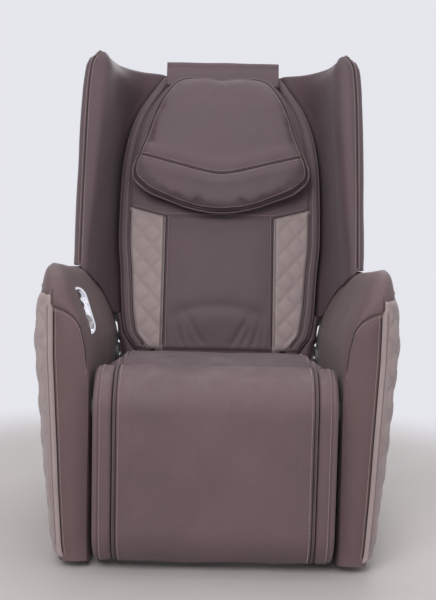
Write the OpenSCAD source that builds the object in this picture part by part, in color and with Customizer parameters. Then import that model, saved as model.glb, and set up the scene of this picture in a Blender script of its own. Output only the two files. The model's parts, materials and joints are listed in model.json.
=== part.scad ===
// Reclining massage armchair with a flip-over leg rest.
// Millimetres. +X is the chair's left-right axis, the sitter faces -Y, +Z is up.
// Origin: floor level, centre of the footprint.

/* [Overall] */
// Depth from the leg rest's front to the back's rear
chair_d = 940; // [920:1:960]
// Width over both armrests
chair_w = 740; // [720:1:760]
// Clear width between the armrests
seat_w = 486; // [480:1:492]

/* [Armrests] */
// Radius of the armrest's rear curve, round the recline pivot
arm_r = 212; // [200:1:222]
// Slope of the armrest's ridge, falling towards the rear, in degrees
arm_slope = 5; // [4:0.5:6]
// Radius of the roll at the armrest's front end
arm_roll = 92; // [70:1:110]
// Gap between the armrest's underside and the floor
arm_lift = 15; // [10:1:25]
// Front face of the armrests, measured from the origin
arm_front = 432; // [425:1:440]
// Thickness of the quilted outer panel
panel_t = 14; // [8:1:18]
// Distance of the quilted panel's upper seam below the armrest's ridge
panel_drop = 45; // [40:1:60]
// Width of the panel's wrap round the armrest's front corner
panel_wrap = 38; // [30:1:44]
// Clearance between armrest and backrest wing
wing_gap = 8; // [6:1:14]

/* [Leg rest] */
// Length of the leg rest from top to bottom
leg_l = 382; // [370:1:392]
// Thickness of the leg rest, which also rounds its ends
leg_t = 160; // [150:1:164]
// Gap between the hanging leg rest and the floor
leg_lift_gap = 10; // [8:1:20]
// Gap between the leg rest's arms and the armrests
leg_side_gap = 12; // [10:1:20]
// Side gap between the calf unit and each carrying arm
drum_gap = 3; // [2:0.5:4]
// Thickness of each carrying arm
leg_arm_t = 34; // [26:1:35]
// Padding on the calf unit
drum_pad_t = 14; // [10:1:16]
// Depth of each calf channel
calf_depth = 58; // [40:1:62]
// Width of each calf channel
calf_w = 128; // [110:1:134]
// Lining inside each calf channel
calf_lining = 6; // [4:1:8]
// Radius of the leg rest's lift pivot pins
lift_pin_r = 10; // [8:0.5:12]
// Radius of the calf unit's turning shaft
flip_shaft_r = 8; // [6:0.5:9]

/* [Seat] */
// Drop from the leg rest's top to the seat cushion's front edge
seat_drop = 6; // [3:1:12]
// Drop of the seat cushion from its front edge to its rear
seat_fall = 36; // [35:1:42]
// Thickness of the seat cushion at its front edge
seat_t = 90; // [86:1:96]
// Thickness of the seat pan
seat_pan_t = 5; // [3:1:8]
// Distance of the seat cushion's rear end from the origin
seat_rear = 66; // [56:1:68]
// Room kept free round the turning calf unit
sweep_clear = 6; // [5:1:10]

/* [Backrest] */
// Lean of the upright backrest from vertical, in degrees
back_lean = 18; // [16:1:19]
// Distance of the recline pivot from the origin
recline_y = 130; // [126:1:134]
// Height of the recline pivot
recline_z = 330; // [328:1:332]
// Length of the backrest above its pivot
back_l = 722; // [715:1:728]
// Depth of the backrest behind the cushion's rear plane
back_d = 115; // [104:1:116]
// Gap between a back frame rail and the armrest beside it
rail_gap = 11; // [10:1:12]
// Width of a back frame rail
rail_w = 24; // [20:1:26]
// Depth of a back frame rail
rail_d = 75; // [70:1:78]
// Radius of the recline pivot pins
recline_pin_r = 12; // [10:0.5:14]
// Thickness of the back cushion at its edge
cushion_t = 40; // [34:1:46]
// Extra height of the back cushion's crown
cushion_crown = 20; // [12:1:26]
// Forward reach of the wings from the cushion's rear plane
wing_reach = 230; // [215:1:236]
// Set-back of the wings from the armrests' outer sides at armrest level
wing_side = 37; // [30:1:44]
// Set-back of the wings from the armrests' outer sides at the top
wing_top_side = 54; // [46:1:60]
// Thickness of a wing near its front edge
wing_t = 34; // [28:1:40]
// Height of the wings' tops above the recline pivot
wing_l = 690; // [675:1:700]
// Thickness of the rear cover
shell_t = 5; // [4:1:8]

/* [Pillow] */
// Set-back of the head pillow's sides from the armrests' inner sides
pillow_side = 27; // [23:1:38]
// Drop of the flap between the strap and the head pillow
flap_l = 25; // [20:1:30]
// Height of the head pillow
pillow_l = 362; // [340:1:370]
// Thickness of the head pillow
pillow_t = 52; // [40:1:60]
// Set-back of the pillow strap's sides from the armrests' inner sides
strap_side = 97; // [93:1:133]
// Thickness of the strap
strap_t = 5; // [3:1:6]

/* [Massage unit] */
// Radius of the massage rollers
roller_r = 23; // [20:1:24]
// Width of each massage roller
roller_w = 24; // [18:1:28]
// Radius of each roller's stub axle
roller_axle_r = 5; // [4:0.5:6]
// Sideways offset of the massage arms from the middle
arm_pivot_x = 62; // [56:1:70]
// Distance from arm pivot to roller centre
arm_reach = 75; // [66:1:82]
// Room between the carriage and a back frame rail
carriage_gap = 58; // [56:1:68]
// Height of the carriage's middle above the recline pivot
carriage_u = 410; // [380:1:430]
// Half height of the carriage
carriage_hh = 68; // [60:1:72]
// Radius of the guide wheels
guide_r = 13; // [11:0.5:14]
// Radius of the guide wheels' axles
guide_axle_r = 5; // [4:0.5:6]

/* [Recline actuator] */
// Distance of the actuator's foot pivot behind the origin
act_y = 0; // [-4:1:4]
// Height of the actuator's foot pivot
act_z = 120; // [116:1:124]
// Radius of the outer tube
act_tube_r = 15; // [13:1:17]
// Radius of the push rod
act_rod_r = 8; // [6:0.5:9]
// Radius of both actuator pins
act_pin_r = 8; // [6:0.5:9]
// Play in the rod's eye, which lets the rod follow the backrest
act_eye_play = 3.2; // [3:0.1:4]

/* [Base] */
// Thickness of the steel side plates
plate_t = 8; // [7:0.5:8.5]
// Height of the base rails
base_rail_h = 40; // [30:1:44]
// Width of the base rails
base_rail_w = 30; // [24:1:34]
// Height of the base rails' undersides above the floor
base_rail_z = 45; // [40:1:50]
// Radius of the floor glides
glide_r = 20; // [15:1:24]
// Radius of the transport wheels
wheel_r = 30; // [26:1:32]
// Width of the transport wheels
wheel_w = 22; // [18:1:26]

/* [Controls] */
// Length of the armrest controller
ctrl_l = 98; // [90:1:104]
// Width of the armrest controller
ctrl_w = 44; // [40:1:48]
// Radius of the controller's dial
dial_r = 15; // [12:0.5:16]
// Travel of each push button
button_travel = 1.5; // [1:0.1:2]

/* [Fits] */
// Radial running clearance of pins and shafts
run_fit = 0.05; // [0.03:0.01:0.08]
// Clearance between soft pieces and what they rest on
soft_fit = 0.3; // [0.2:0.05:0.4]

/* [Hidden] */
$fn = 64;

leather = [0.42, 0.35, 0.365];
leather_dark = [0.33, 0.265, 0.28];
taupe = [0.62, 0.58, 0.57];
steel = [0.30, 0.31, 0.33];
bright = [0.76, 0.77, 0.79];
black = [0.09, 0.09, 0.10];
grey = [0.45, 0.45, 0.47];

half_seat = seat_w / 2;
half_w = chair_w / 2;
front_y = -chair_d / 2;
leg_y = front_y + leg_t / 2;
leg_r = leg_t / 2;
lift_z = leg_lift_gap + leg_l - leg_r;
low_z = leg_lift_gap + leg_r;
flip_z = leg_lift_gap + leg_l / 2;
sweep_r = leg_l / 2 + sweep_clear;
drum_hw = half_seat - leg_side_gap - leg_arm_t - drum_gap;
seat_front_h = leg_lift_gap + leg_l - seat_drop;
seat_rear_h = seat_front_h - seat_fall;
seat_pan_h = seat_front_h - seat_t;
rail_out = half_seat - rail_gap;
carriage_hw = rail_out - rail_w - carriage_gap;
wing_hw = half_w - wing_side;
wing_top_hw = half_w - wing_top_side;
pillow_hw = half_seat - pillow_side;
strap_hw = half_seat - strap_side;
plate_in = half_seat - plate_t;
base_in = plate_in - base_rail_w;
tray_t = 3;
tray_z = base_rail_z + base_rail_h;
rear_y = recline_y + arm_r - 4;
skirt_t = 6;
skirt_h = 258;
leg_arm_in = drum_hw + drum_gap;
leg_arm_out = leg_arm_in + leg_arm_t;

// ---------- shared shapes ----------

function lerp(a, b, t) = a + (b - a) * t;
// Value of a table [[key, value], ...] at u, with straight lines between
function table(tab, u, i = 0) =
  u <= tab[i][0] ? tab[i][1] :
  i >= len(tab) - 1 ? tab[len(tab) - 1][1] :
  u <= tab[i + 1][0]
    ? lerp(tab[i][1], tab[i + 1][1], (u - tab[i][0]) / (tab[i + 1][0] - tab[i][0]))
    : table(tab, u, i + 1);
// Smooth open curve through the points
function curve(p, n = 4) = [
  for (i = [0 : len(p) - 2], k = [0 : n - 1])
    let (a = p[max(i - 1, 0)], b = p[i], c = p[i + 1], d = p[min(i + 2, len(p) - 1)], t = k / n)
    0.5 * (2 * b + (c - a) * t + (2 * a - 5 * b + 4 * c - d) * t * t
      + (3 * b - a - 3 * c + d) * t * t * t),
  p[len(p) - 1]];
// The same points in the opposite order
function rev(p) = [for (i = [len(p) - 1 : -1 : 0]) p[i]];
// Stack of rings with the same number of points, closed at both ends by fans, or by strips
// for a thin ring that runs down one side and up the other; back picks the other diagonal
// of each four-cornered patch, and foot is the point that the last fan starts from
module skin_rings(rings, back = false, strip = false, foot = undef) {
  n = len(rings[0]);
  m = len(rings);
  function mid(r) = [for (k = [0 : 2]) (max([for (p = r) p[k]]) + min([for (p = r) p[k]])) / 2];
  pts = concat([for (r = rings) each r], strip ? [] : [mid(rings[0]), is_undef(foot) ? mid(rings[m - 1]) : foot]);
  sides = [for (j = [0 : m - 2], i = [0 : n - 1])
    let (k = (i + 1) % n, a = j * n + i, b = (j + 1) * n + i, c = (j + 1) * n + k, d = j * n + k)
    each back ? [[a, b, d], [b, c, d]] : [[a, b, c], [a, c, d]]];
  e = (m - 1) * n;
  start = strip
    ? [for (i = [0 : n / 2 - 2]) each [[n - 1 - i, i, i + 1], [n - 1 - i, i + 1, n - 2 - i]]]
    : [for (i = [0 : n - 1]) [m * n, i, (i + 1) % n]];
  finish = strip
    ? [for (i = [0 : n / 2 - 2]) each [[e + n - 1 - i, e + i + 1, e + i],
        [e + n - 1 - i, e + n - 2 - i, e + i + 1]]]
    : [for (i = [0 : n - 1]) [m * n + 1, e + (i + 1) % n, e + i]];
  polyhedron(points = pts, faces = concat(start, sides, finish));
}
// Extrusion along X of a shape drawn in (y, z)
module across(x0, x1) {
  translate([x0, 0, 0]) rotate([90, 0, 90]) linear_extrude(x1 - x0) children();
}
// Extrusion along Y of a shape drawn in (x, z)
module along(y0, y1) {
  translate([0, y1, 0]) rotate([90, 0, 0]) linear_extrude(y1 - y0) children();
}
// Cylinder along X
module xcyl(x0, x1, y, z, r) {
  translate([x0, y, z]) rotate([0, 90, 0]) cylinder(r = r, h = x1 - x0);
}
// Mirror to the -X side when s is negative
module side(s) {
  if (s < 0) mirror([1, 0, 0]) children();
  else children();
}
// Frame of the backrest: X across, -Y forward, Z up along the back
module back() {
  translate([0, recline_y, recline_z]) rotate([-back_lean, 0, 0]) children();
}
module stadium(r, x0, x1) {
  union() {
    xcyl(x0, x1, leg_y, lift_z, r);
    xcyl(x0, x1, leg_y, low_z, r);
    translate([x0, leg_y - r, low_z]) cube([x1 - x0, 2 * r, lift_z - low_z]);
  }
}

// ---------- armrests ----------

// Crown of the armrest [x, r], from its inner wall up to the ridge and down its outer side,
// with r the height over the pivot, measured square to the sloping ridge
arm_in = curve([
  [half_seat, arm_r - 152], [half_seat + 9, arm_r - 116], [half_seat + 23, arm_r - 80],
  [half_seat + 38, arm_r - 46], [half_seat + 53, arm_r - 18], [half_seat + 69, arm_r - 4],
  [half_w - 43, arm_r]], 3);
arm_out = curve([
  [half_w - 43, arm_r], [half_w - 29, arm_r - 7], [half_w - 18, arm_r - 25],
  [half_w - 8, arm_r - 57], [half_w - 2, arm_r - 97], [half_w, arm_r - 137],
  [half_w - 2, arm_r - 187], [half_w - 6, -20], [half_w - 6, -80]], 3);
arm_out_up = [for (p = arm_out) if (p[1] > arm_r - 120) p];
// How far the outer side has drawn in [height, distance] below the pivot
arm_drift = [[arm_lift, 42], [arm_lift + 10, 34], [60, 26], [120, 20], [180, 14], [260, 7],
  [recline_z, 0]];
// The front's rounding in plan [distance from the front end, x], at the inner and outer side
arm_nose_in = [[0.7, half_seat + 60], [5, half_seat + 45], [11, half_seat + 28],
  [18, half_seat + 16], [26, half_seat + 5], [34, half_seat]];
arm_nose_out = [[0.7, half_w - 39], [3, half_w - 34], [8, half_w - 27], [16, half_w - 18.5],
  [28, half_w - 12], [54, half_w - 5], [80, half_w - 1.5], [132, half_w + 5]];
// Height of the ridge at the armrest's front
arm_h = recline_z + arm_r / cos(arm_slope) + (recline_y + arm_front - arm_roll) * tan(arm_slope);
arm_roll_y = -arm_front - 1 + arm_roll;
arm_roll_z = arm_h - arm_roll / cos(arm_slope);
panel_r = arm_r - panel_drop;
panel_z = arm_lift + 6;

// r of the pivot's own level at y, along the slope ahead of the pivot and round it behind
function arm_base(y) = (y - recline_y) * (y < recline_y ? sin(arm_slope) : 1);
// Height of r at y, and r of a height at y
function arm_z(y, r) = recline_z + (y < recline_y
  ? (r - arm_base(y)) / cos(arm_slope)
  : sqrt(max(r * r - arm_base(y) * arm_base(y), 0)));
function arm_rz(y, z) = y < recline_y
  ? (z - recline_z) * cos(arm_slope) + arm_base(y)
  : norm([z - recline_z, y - recline_y]);
function arm_x(c, r) = table([for (p = c[0][1] < c[len(c) - 1][1] ? c : rev(c)) [p[1], p[0]]], r);
// Top of the roll at the front end
function arm_roll_top(y) = y > arm_roll_y ? 2 * arm_h
  : arm_roll_z + sqrt(max(arm_roll * arm_roll - (y - arm_roll_y) * (y - arm_roll_y), 0));
// Inner and outer x of the armrest at y
function arm_xa(y) = max(arm_x(arm_in, max(arm_base(y), 0)), table(arm_nose_in, y + arm_front));
function arm_xb(y) = y < 0 ? table(arm_nose_out, y + arm_front) : half_w + 5;
// Outer side at y and height z
function arm_side(y, z) = let (
    x0 = arm_x(arm_out, arm_base(y)),
    k = min(1, (x0 - arm_x(arm_in, arm_base(y))) / 70))
  z >= recline_z ? arm_x(arm_out, arm_rz(y, z)) : x0 - k * table(arm_drift, z);
// Inner face of the panel, d inside the outer side
function arm_sunk(y, z, d) = let (x = min(arm_side(y, z), arm_xb(y)))
  max(min(arm_side(y, z) - d, x - min(d, soft_fit)), arm_xa(y) + 3);
// Upper seam of the panel at y, and the panel's levels from there down
function arm_seam(y) = let (b = arm_base(y))
  min(arm_z(y, max(panel_r, b)) - (b > panel_r ? 2 : 0), arm_roll_top(y) - 2);
function arm_levels(y) = [for (h = [1, 0.93, 0.84, 0.72, 0.58, 0.43, 0.28, 0.14, 0.04, 0])
  panel_z + (arm_seam(y) - panel_z) * h];
// Section across the armrest at y, with a recess of depth d for the panel
function arm_ring(y, d) = let (
    xa = arm_xa(y), xm = min(half_w - 43, arm_xb(y) - 5),
    xc = min(arm_x(arm_out, max(panel_r, arm_base(y))), arm_xb(y)),
    zt = arm_roll_top(y))
  concat(
    [[xa, y, arm_lift]],
    [for (g = [0, 0.05, 0.13, 0.28, 0.45, 0.63, 0.82]) let (x = lerp(xa, xm, g))
      [x, y, min(arm_z(y, table(arm_in, x)), zt)]],
    [for (g = [0, 0.25, 0.5, 0.75]) let (x = lerp(xm, xc, g))
      [x, y, min(arm_z(y, table(x < half_w - 43 ? arm_in : arm_out_up, x)), zt)]],
    [[xc, y, min(arm_seam(y) + 1.5, zt)]],
    [for (z = arm_levels(y)) [arm_sunk(y, z, d), y, z]],
    [for (z = [panel_z - 0.5, arm_lift]) [min(arm_side(y, z), arm_xb(y)), y, z]]);
// The panel in its recess
function panel_ring(y, d) = let (l = arm_levels(y), n = len(l) - 1)
  concat([for (i = [0 : n]) let (z = l[i] + (i == 0 ? -soft_fit : i == n ? soft_fit : 0))
      [min(arm_side(y, z), arm_xb(y)), y, z]],
    [for (i = [n : -1 : 0]) let (z = l[i] + (i == 0 ? -soft_fit : i == n ? soft_fit : 0))
      [min(arm_sunk(y, z, d) + 1.5 * soft_fit, min(arm_side(y, z), arm_xb(y)) - 0.1), y, z]]);
arm_noses = [8, 16, 26];
arm_fronts = [54, 72, 92];
arm_rears = [0, 30, 60, 88, 112, 132, 150];
module arm_body() {
  f = -arm_front;
  rear = recline_y + panel_r;
  skin_rings(concat(
    [arm_ring(f + 0.7, soft_fit), arm_ring(f + 3 - soft_fit, soft_fit), arm_ring(f + 3, panel_wrap),
      arm_ring(f + 3 + soft_fit, panel_wrap)],
    [for (e = arm_noses) arm_ring(f + e, panel_wrap)],
    [arm_ring(f + panel_wrap, panel_wrap), arm_ring(f + panel_wrap + soft_fit, panel_t)],
    [for (e = arm_fronts) arm_ring(f + e, panel_t)],
    [for (t = arm_rears) arm_ring(recline_y + t * arm_r / 212, panel_t)],
    [arm_ring(rear - 3 - soft_fit, panel_t), arm_ring(rear - 3, panel_t),
      arm_ring(rear - 3 + soft_fit, soft_fit), arm_ring(rear + 4, soft_fit)],
    [for (t = [182, 194, 203, 209]) arm_ring(recline_y + arm_r * t / 212, soft_fit)]));
}
module arm_panel() {
  f = -arm_front;
  skin_rings(concat(
    [panel_ring(f + 3 + soft_fit, panel_wrap)],
    [for (e = arm_noses) panel_ring(f + e, panel_wrap)],
    [panel_ring(f + panel_wrap - soft_fit, panel_wrap), panel_ring(f + panel_wrap, panel_t)],
    [for (e = arm_fronts) panel_ring(f + e, panel_t)],
    [for (t = arm_rears) panel_ring(recline_y + t * arm_r / 212, panel_t)],
    [panel_ring(recline_y + panel_r - 3 - soft_fit, panel_t)]), back = true, strip = true);
}
module armrest(s) {
  color(leather) difference() {
    side(s) arm_body();
    if (s < 0) control_pocket();
  }
}
module side_panel(s) {
  color(taupe) side(s) arm_panel();
}
module armrest_left() { armrest(-1); }
module armrest_right() { armrest(1); }
module side_panel_left() { side_panel(-1); }
module side_panel_right() { side_panel(1); }

// ---------- controller on the armrest ----------

ctrl_h = 12;
ctrl_lip = 3;
// Frame of the controller: X along its width, Y up its length, Z out of its face
module ctrl() {
  translate([-half_seat - 23, -arm_front + 80, arm_h - 87])
    rotate([0, 0, -32]) rotate([0, 68, 0]) rotate([0, 0, 90]) children();
}
module ctrl_outline(d) {
  r = ctrl_w / 2 - d;
  union() {
    translate([0, ctrl_l / 2 - ctrl_w / 2]) circle(r);
    translate([0, -ctrl_l / 2 + ctrl_w / 2]) circle(r);
    translate([-r, -ctrl_l / 2 + ctrl_w / 2]) square([2 * r, ctrl_l - ctrl_w]);
  }
}
module control_pocket() {
  ctrl() translate([0, 0, -ctrl_h]) linear_extrude(60) ctrl_outline(0);
}
dial_v = -ctrl_l / 2 + ctrl_w / 2 + 4;
button_r = 7;
button_v = [ctrl_l / 2 - ctrl_w / 2 - 14, ctrl_l / 2 - ctrl_w / 2 + 6];
module controller_bezel() {
  color(bright) ctrl() difference() {
    translate([0, 0, -ctrl_h]) linear_extrude(ctrl_h + ctrl_lip) ctrl_outline(0);
    translate([0, 0, -2]) linear_extrude(20) ctrl_outline(5);
    translate([0, dial_v, -ctrl_h + 2]) cylinder(r = 4 + run_fit, h = 20);
    for (v = button_v) translate([0, v, -ctrl_h + 2]) cylinder(r = button_r + 0.2, h = 20);
  }
}
module controller_dial() {
  color(bright) ctrl() translate([0, dial_v, 0]) union() {
    translate([0, 0, -ctrl_h + 2]) cylinder(r = 4, h = ctrl_h);
    difference() {
      translate([0, 0, -1.8]) cylinder(r = dial_r, h = 6.5);
      translate([0, 0, 3.2]) cylinder(r = dial_r - 3, h = 5);
      translate([0, dial_r - 5.5, 2.4]) cylinder(r = 1.6, h = 5);
    }
  }
}
module ctrl_button(v) {
  color(black) ctrl() translate([0, v, -ctrl_h + 2 + button_travel + 0.3])
    cylinder(r = button_r, h = ctrl_h - 2);
}
module controller_button_up() { ctrl_button(button_v[1]); }
module controller_button_down() { ctrl_button(button_v[0]); }

// ---------- base ----------

rail_front = front_y + leg_t + 10;
module base_frame() {
  color(steel) union() {
    for (s = [-1, 1]) side(s)
      translate([base_in, rail_front, base_rail_z])
        cube([base_rail_w, rear_y - rail_front, base_rail_h]);
    for (y = [-178, 60, rear_y - base_rail_w])
      translate([-base_in, y, base_rail_z]) cube([2 * base_in, base_rail_w, base_rail_h]);
  }
}
module side_plate(s) {
  color(steel) side(s) difference() {
    across(plate_in, half_seat) union() {
      translate([leg_y, lift_z]) circle(20);
      translate([recline_y, recline_z]) circle(30);
      polygon([[leg_y - 2, lift_z + 20], [leg_y + 40, lift_z + 14], [-270, seat_pan_h - 2],
        [recline_y - 40, seat_pan_h - 2], [recline_y - 4, recline_z + 30],
        [recline_y + 4, recline_z + 30], [recline_y + 24, recline_z - 18],
        [recline_y + 60, recline_z - 74], [rear_y - 6, 206], [rear_y, 200],
        [rear_y, base_rail_z], [rail_front, base_rail_z], [rail_front, 150],
        [leg_y - 2, lift_z - 20]]);
    }
    xcyl(plate_in - 1, half_seat + 1, leg_y, lift_z, lift_pin_r);
    xcyl(plate_in - 1, half_seat + 1, recline_y, recline_z, recline_pin_r);
  }
}
module side_plate_left() { side_plate(-1); }
module side_plate_right() { side_plate(1); }
module recline_pins() {
  color(bright) for (s = [-1, 1]) side(s)
    xcyl(rail_out - rail_w + 2, half_seat, recline_y, recline_z, recline_pin_r);
}
lift_pin_in = leg_arm_in + 6;
module lift_pins() {
  color(bright) for (s = [-1, 1]) side(s) xcyl(lift_pin_in, half_seat, leg_y, lift_z, lift_pin_r);
}
module floor_glides() {
  color(black) for (s = [-1, 1], y = [rail_front + 30, rear_y - 90]) side(s) union() {
    translate([base_in + base_rail_w / 2, y, 0]) cylinder(r = glide_r, h = 12);
    translate([base_in + base_rail_w / 2, y, 12]) cylinder(r = 6, h = base_rail_z - 12);
  }
}
module electronics_tray() {
  color(grey) difference() {
    translate([-plate_in, -178, tray_z]) cube([2 * plate_in, rear_y - skirt_t + 178, tray_t]);
    for (x = [-150, 150]) translate([x, 250, tray_z - 1]) cylinder(r = 12, h = tray_t + 2);
  }
}
module rear_skirt() {
  color(black) difference() {
    translate([-plate_in, rear_y - skirt_t, tray_z]) cube([2 * plate_in, skirt_t, skirt_h - tray_z]);
    translate([inlet_x - 24, rear_y - skirt_t - 1, inlet_z - 14]) cube([48, skirt_t + 2, 28]);
    translate([switch_x - 11, rear_y - skirt_t - 1, inlet_z - 14]) cube([22, skirt_t + 2, 28]);
  }
}
inlet_x = -160;
inlet_z = 130;
switch_x = -110;
module power_inlet() {
  color(black) difference() {
    union() {
      translate([inlet_x - 24, rear_y - 28, inlet_z - 14]) cube([48, 28, 28]);
      translate([inlet_x - 28, rear_y, inlet_z - 17]) cube([56, 2, 34]);
    }
    translate([inlet_x - 14, rear_y - 16, inlet_z - 10]) cube([28, 20, 20]);
    for (x = [-7, 0, 7]) translate([inlet_x + x, rear_y - 14, inlet_z]) rotate([90, 0, 0])
      cylinder(r = 1.2, h = 8);
  }
}
module power_switch() {
  color(black) union() {
    across(switch_x - 9, switch_x + 9)
      polygon([[rear_y + 3, inlet_z + 11], [rear_y + 0.6, inlet_z], [rear_y + 4.5, inlet_z - 11],
        [rear_y - 8, inlet_z - 8], [rear_y - 8, inlet_z + 8]]);
    xcyl(switch_x - 11, switch_x + 11, rear_y - 3, inlet_z, 1.5);
  }
}
box_w = 130;
module control_box() {
  color(grey) translate([20 - plate_in, 0, 0]) union() {
    translate([0, 150, tray_z + tray_t]) cube([box_w, 110, 62]);
    for (y = [165 : 20 : 245]) translate([5, y - 3, tray_z + tray_t + 62]) cube([box_w - 10, 6, 5]);
  }
}
pump_w = 120;
module air_pump() {
  color(black) translate([plate_in - 25 - pump_w, 0, 0]) union() {
    translate([0, 150, tray_z + tray_t]) cube([pump_w, 100, 70]);
    translate([pump_w / 2, 150, tray_z + tray_t + 38]) rotate([90, 0, 0]) cylinder(r = 26, h = 60);
    translate([20, 250, tray_z + tray_t + 40]) rotate([-90, 0, 0]) cylinder(r = 6, h = 18);
  }
}
valves_w = 110;
module air_valves() {
  color(bright) translate([plate_in - 45 - valves_w, 0, 0]) union() {
    translate([0, -60, tray_z + tray_t]) cube([valves_w, 40, 30]);
    for (i = [0 : 4]) translate([15 + 20 * i, -40, tray_z + tray_t + 30]) cylinder(r = 6, h = 12);
  }
}
wheel_y = rear_y - 66;
wheel_z = wheel_r + 4;
wheel_axle_r = 6;
wheel_x = base_in - wheel_w - 6;
module wheel_axle() {
  color(bright) union() {
    xcyl(-base_in, base_in, wheel_y, wheel_z, wheel_axle_r);
    for (s = [-1, 1]) side(s) translate([base_in - 4, wheel_y - 12, wheel_z - 12])
      cube([4, 24, base_rail_z + 24 - wheel_z]);
  }
}
module transport_wheel(s) {
  color(black) side(s) translate([wheel_x, wheel_y, wheel_z]) rotate([90, 0, 90])
    rotate_extrude() polygon([[wheel_axle_r + run_fit, 0], [wheel_r - 3, 0], [wheel_r, 3],
      [wheel_r, wheel_w - 3], [wheel_r - 3, wheel_w], [wheel_axle_r + run_fit, wheel_w]]);
}
module transport_wheel_left() { transport_wheel(-1); }
module transport_wheel_right() { transport_wheel(1); }

// ---------- seat ----------

// Where the turning calf unit's free circle meets height z
function sweep_y(z) = leg_y + sqrt(max(sweep_r * sweep_r - (z - flip_z) * (z - flip_z), 0));
seat_pan_front = sweep_y(seat_pan_h - seat_pan_t - 34) + 4;
module seat_pan() {
  w = plate_in;
  color(steel) union() {
    translate([-w, seat_pan_front, seat_pan_h - seat_pan_t])
      cube([2 * w, seat_rear - seat_pan_front, seat_pan_t]);
    for (s = [-1, 1]) side(s)
      translate([w - 4, seat_pan_front, seat_pan_h - seat_pan_t - 34])
        cube([4, seat_rear - seat_pan_front, 34 + seat_pan_t]);
  }
}
// Slanted front face of the seat cushion, a tangent to that circle
seat_tan = (asin((seat_pan_h - flip_z) / sweep_r) + asin((seat_front_h - 10 - flip_z) / sweep_r)) / 2;
function seat_slant(z) = leg_y + 2 + (sweep_r - (z - flip_z) * sin(seat_tan)) / cos(seat_tan);
// Side outline [y, z] of the seat cushion at sink d below its crown
function seat_side(d) = let (
    zf = seat_front_h - d, zr = seat_rear_h - d, z0 = seat_pan_h + soft_fit,
    yf = seat_slant(zf - 10))
  concat(
    [for (t = [0, 0.5]) let (z = lerp(z0, zf - 10, t)) [seat_slant(z), z]],
    curve([[yf, zf - 10], [yf - 3, zf - 4], [yf + 8, zf + 0.4], [yf + 32, zf + 1]], 4),
    [for (i = [1 : 6]) let (t = i / 6) [lerp(yf + 32, seat_rear - 22, t),
      lerp(zf + 1, zr, t) - 5 * sin(180 * t)]],
    curve([[seat_rear - 22, zr], [seat_rear - 4, zr - 8], [seat_rear - 1, zr - 26]], 4),
    [[seat_rear - 6, z0]]);
module seat_cushion() {
  hw = plate_in - 1;
  rows = [[-1, 16, 6], [-0.985, 7, 2], [-0.95, 3, 0.5], [-0.85, 1, 0], [-0.5, 0, 0], [0, 0.6, 0],
    [0.5, 0, 0], [0.85, 1, 0], [0.95, 3, 0.5], [0.985, 7, 2], [1, 16, 6]];
  color(leather) skin_rings([for (r = rev(rows)) [for (p = seat_side(r[1]))
    [r[0] * hw, p[0] + (p[0] < 0 ? r[2] : -r[2]), p[1]]]]);
}

// ---------- leg rest ----------

module leg_arm(s) {
  color(leather) side(s) difference() {
    stadium(leg_r, leg_arm_in, leg_arm_out);
    xcyl(lift_pin_in - 1, leg_arm_out + 1, leg_y, lift_z, lift_pin_r + run_fit);
    xcyl(leg_arm_in - 1, leg_arm_in + 22, leg_y, flip_z, flip_shaft_r);
  }
}
module leg_arm_left() { leg_arm(-1); }
module leg_arm_right() { leg_arm(1); }
module flip_shaft() {
  color(bright) xcyl(-leg_arm_in - 22, leg_arm_in + 22, leg_y, flip_z, flip_shaft_r);
}
// Outline [x, y] of a calf channel, grown by d
function calf_outline(x, d) = let (w = calf_w / 2 - d, y0 = leg_y + leg_r, b = calf_depth - d)
  concat([[x - w, y0 + 3]],
    [for (a = [0 : 15 : 180]) [x - w * cos(a), y0 - b * 0.5 - b * 0.5 * pow(sin(a), 0.8)]],
    [[x + w, y0 + 3]]);
calf_x = 94;
calf_top = flip_z + leg_l / 2 - 46;
module calf_cut(x, d) {
  translate([0, 0, -5]) linear_extrude(calf_top + 5 - d) polygon(calf_outline(x, d));
}
module calf_core() {
  color(black) difference() {
    stadium(leg_r - drum_pad_t, -drum_hw, drum_hw);
    for (s = [-1, 1]) calf_cut(s * calf_x, 0);
    xcyl(-drum_hw - 1, drum_hw + 1, leg_y, flip_z, flip_shaft_r + run_fit);
  }
}
module calf_pad() {
  color(leather) difference() {
    stadium(leg_r, -drum_hw, drum_hw);
    stadium(leg_r - drum_pad_t, -drum_hw - 1, drum_hw + 1);
    for (s = [-1, 1]) calf_cut(s * calf_x, 0);
  }
}
module calf_lining_part(s) {
  color(taupe) intersection() {
    difference() {
      calf_cut(s * calf_x, 0);
      calf_cut(s * calf_x, calf_lining);
    }
    stadium(leg_r - 2, -drum_hw, drum_hw);
  }
}
module calf_lining_left() { calf_lining_part(-1); }
module calf_lining_right() { calf_lining_part(1); }

// ---------- backrest structure ----------

rail_in = rail_out - rail_w;
rail_lo = -30;
cross_y = rail_d + 5;
cross_t = 8;
act_u = 37;
act_n = 47;
head_u = wing_l - 35;
module back_frame() {
  color(steel) back() difference() {
    union() {
      for (s = [-1, 1]) side(s) translate([rail_in, 0, rail_lo])
        cube([rail_w, rail_d, wing_l - 6 - rail_lo]);
      for (s = [-1, 1]) side(s) xcyl(rail_in, rail_out, 0, 0, recline_pin_r + 6);
      for (u = [100, head_u - 30]) translate([-rail_in, cross_y, u]) cube([2 * rail_in, cross_t, 26]);
      for (s = [-1, 1], u = [100, head_u - 30]) side(s)
        translate([rail_in, rail_d, u]) cube([rail_w, cross_y + cross_t - rail_d, 26]);
      translate([-rail_in, 12, head_u]) cube([2 * rail_in, 30, 22]);
      translate([-head_hw, 0, head_u]) cube([2 * head_hw, 12, back_l - 11 - head_u]);
      xcyl(-rail_in, rail_in, act_n, act_u, act_pin_r);
    }
    for (s = [-1, 1]) side(s) xcyl(rail_in - 1, rail_out + 1, 0, 0, recline_pin_r + run_fit);
  }
}
head_hw = 120;
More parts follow.
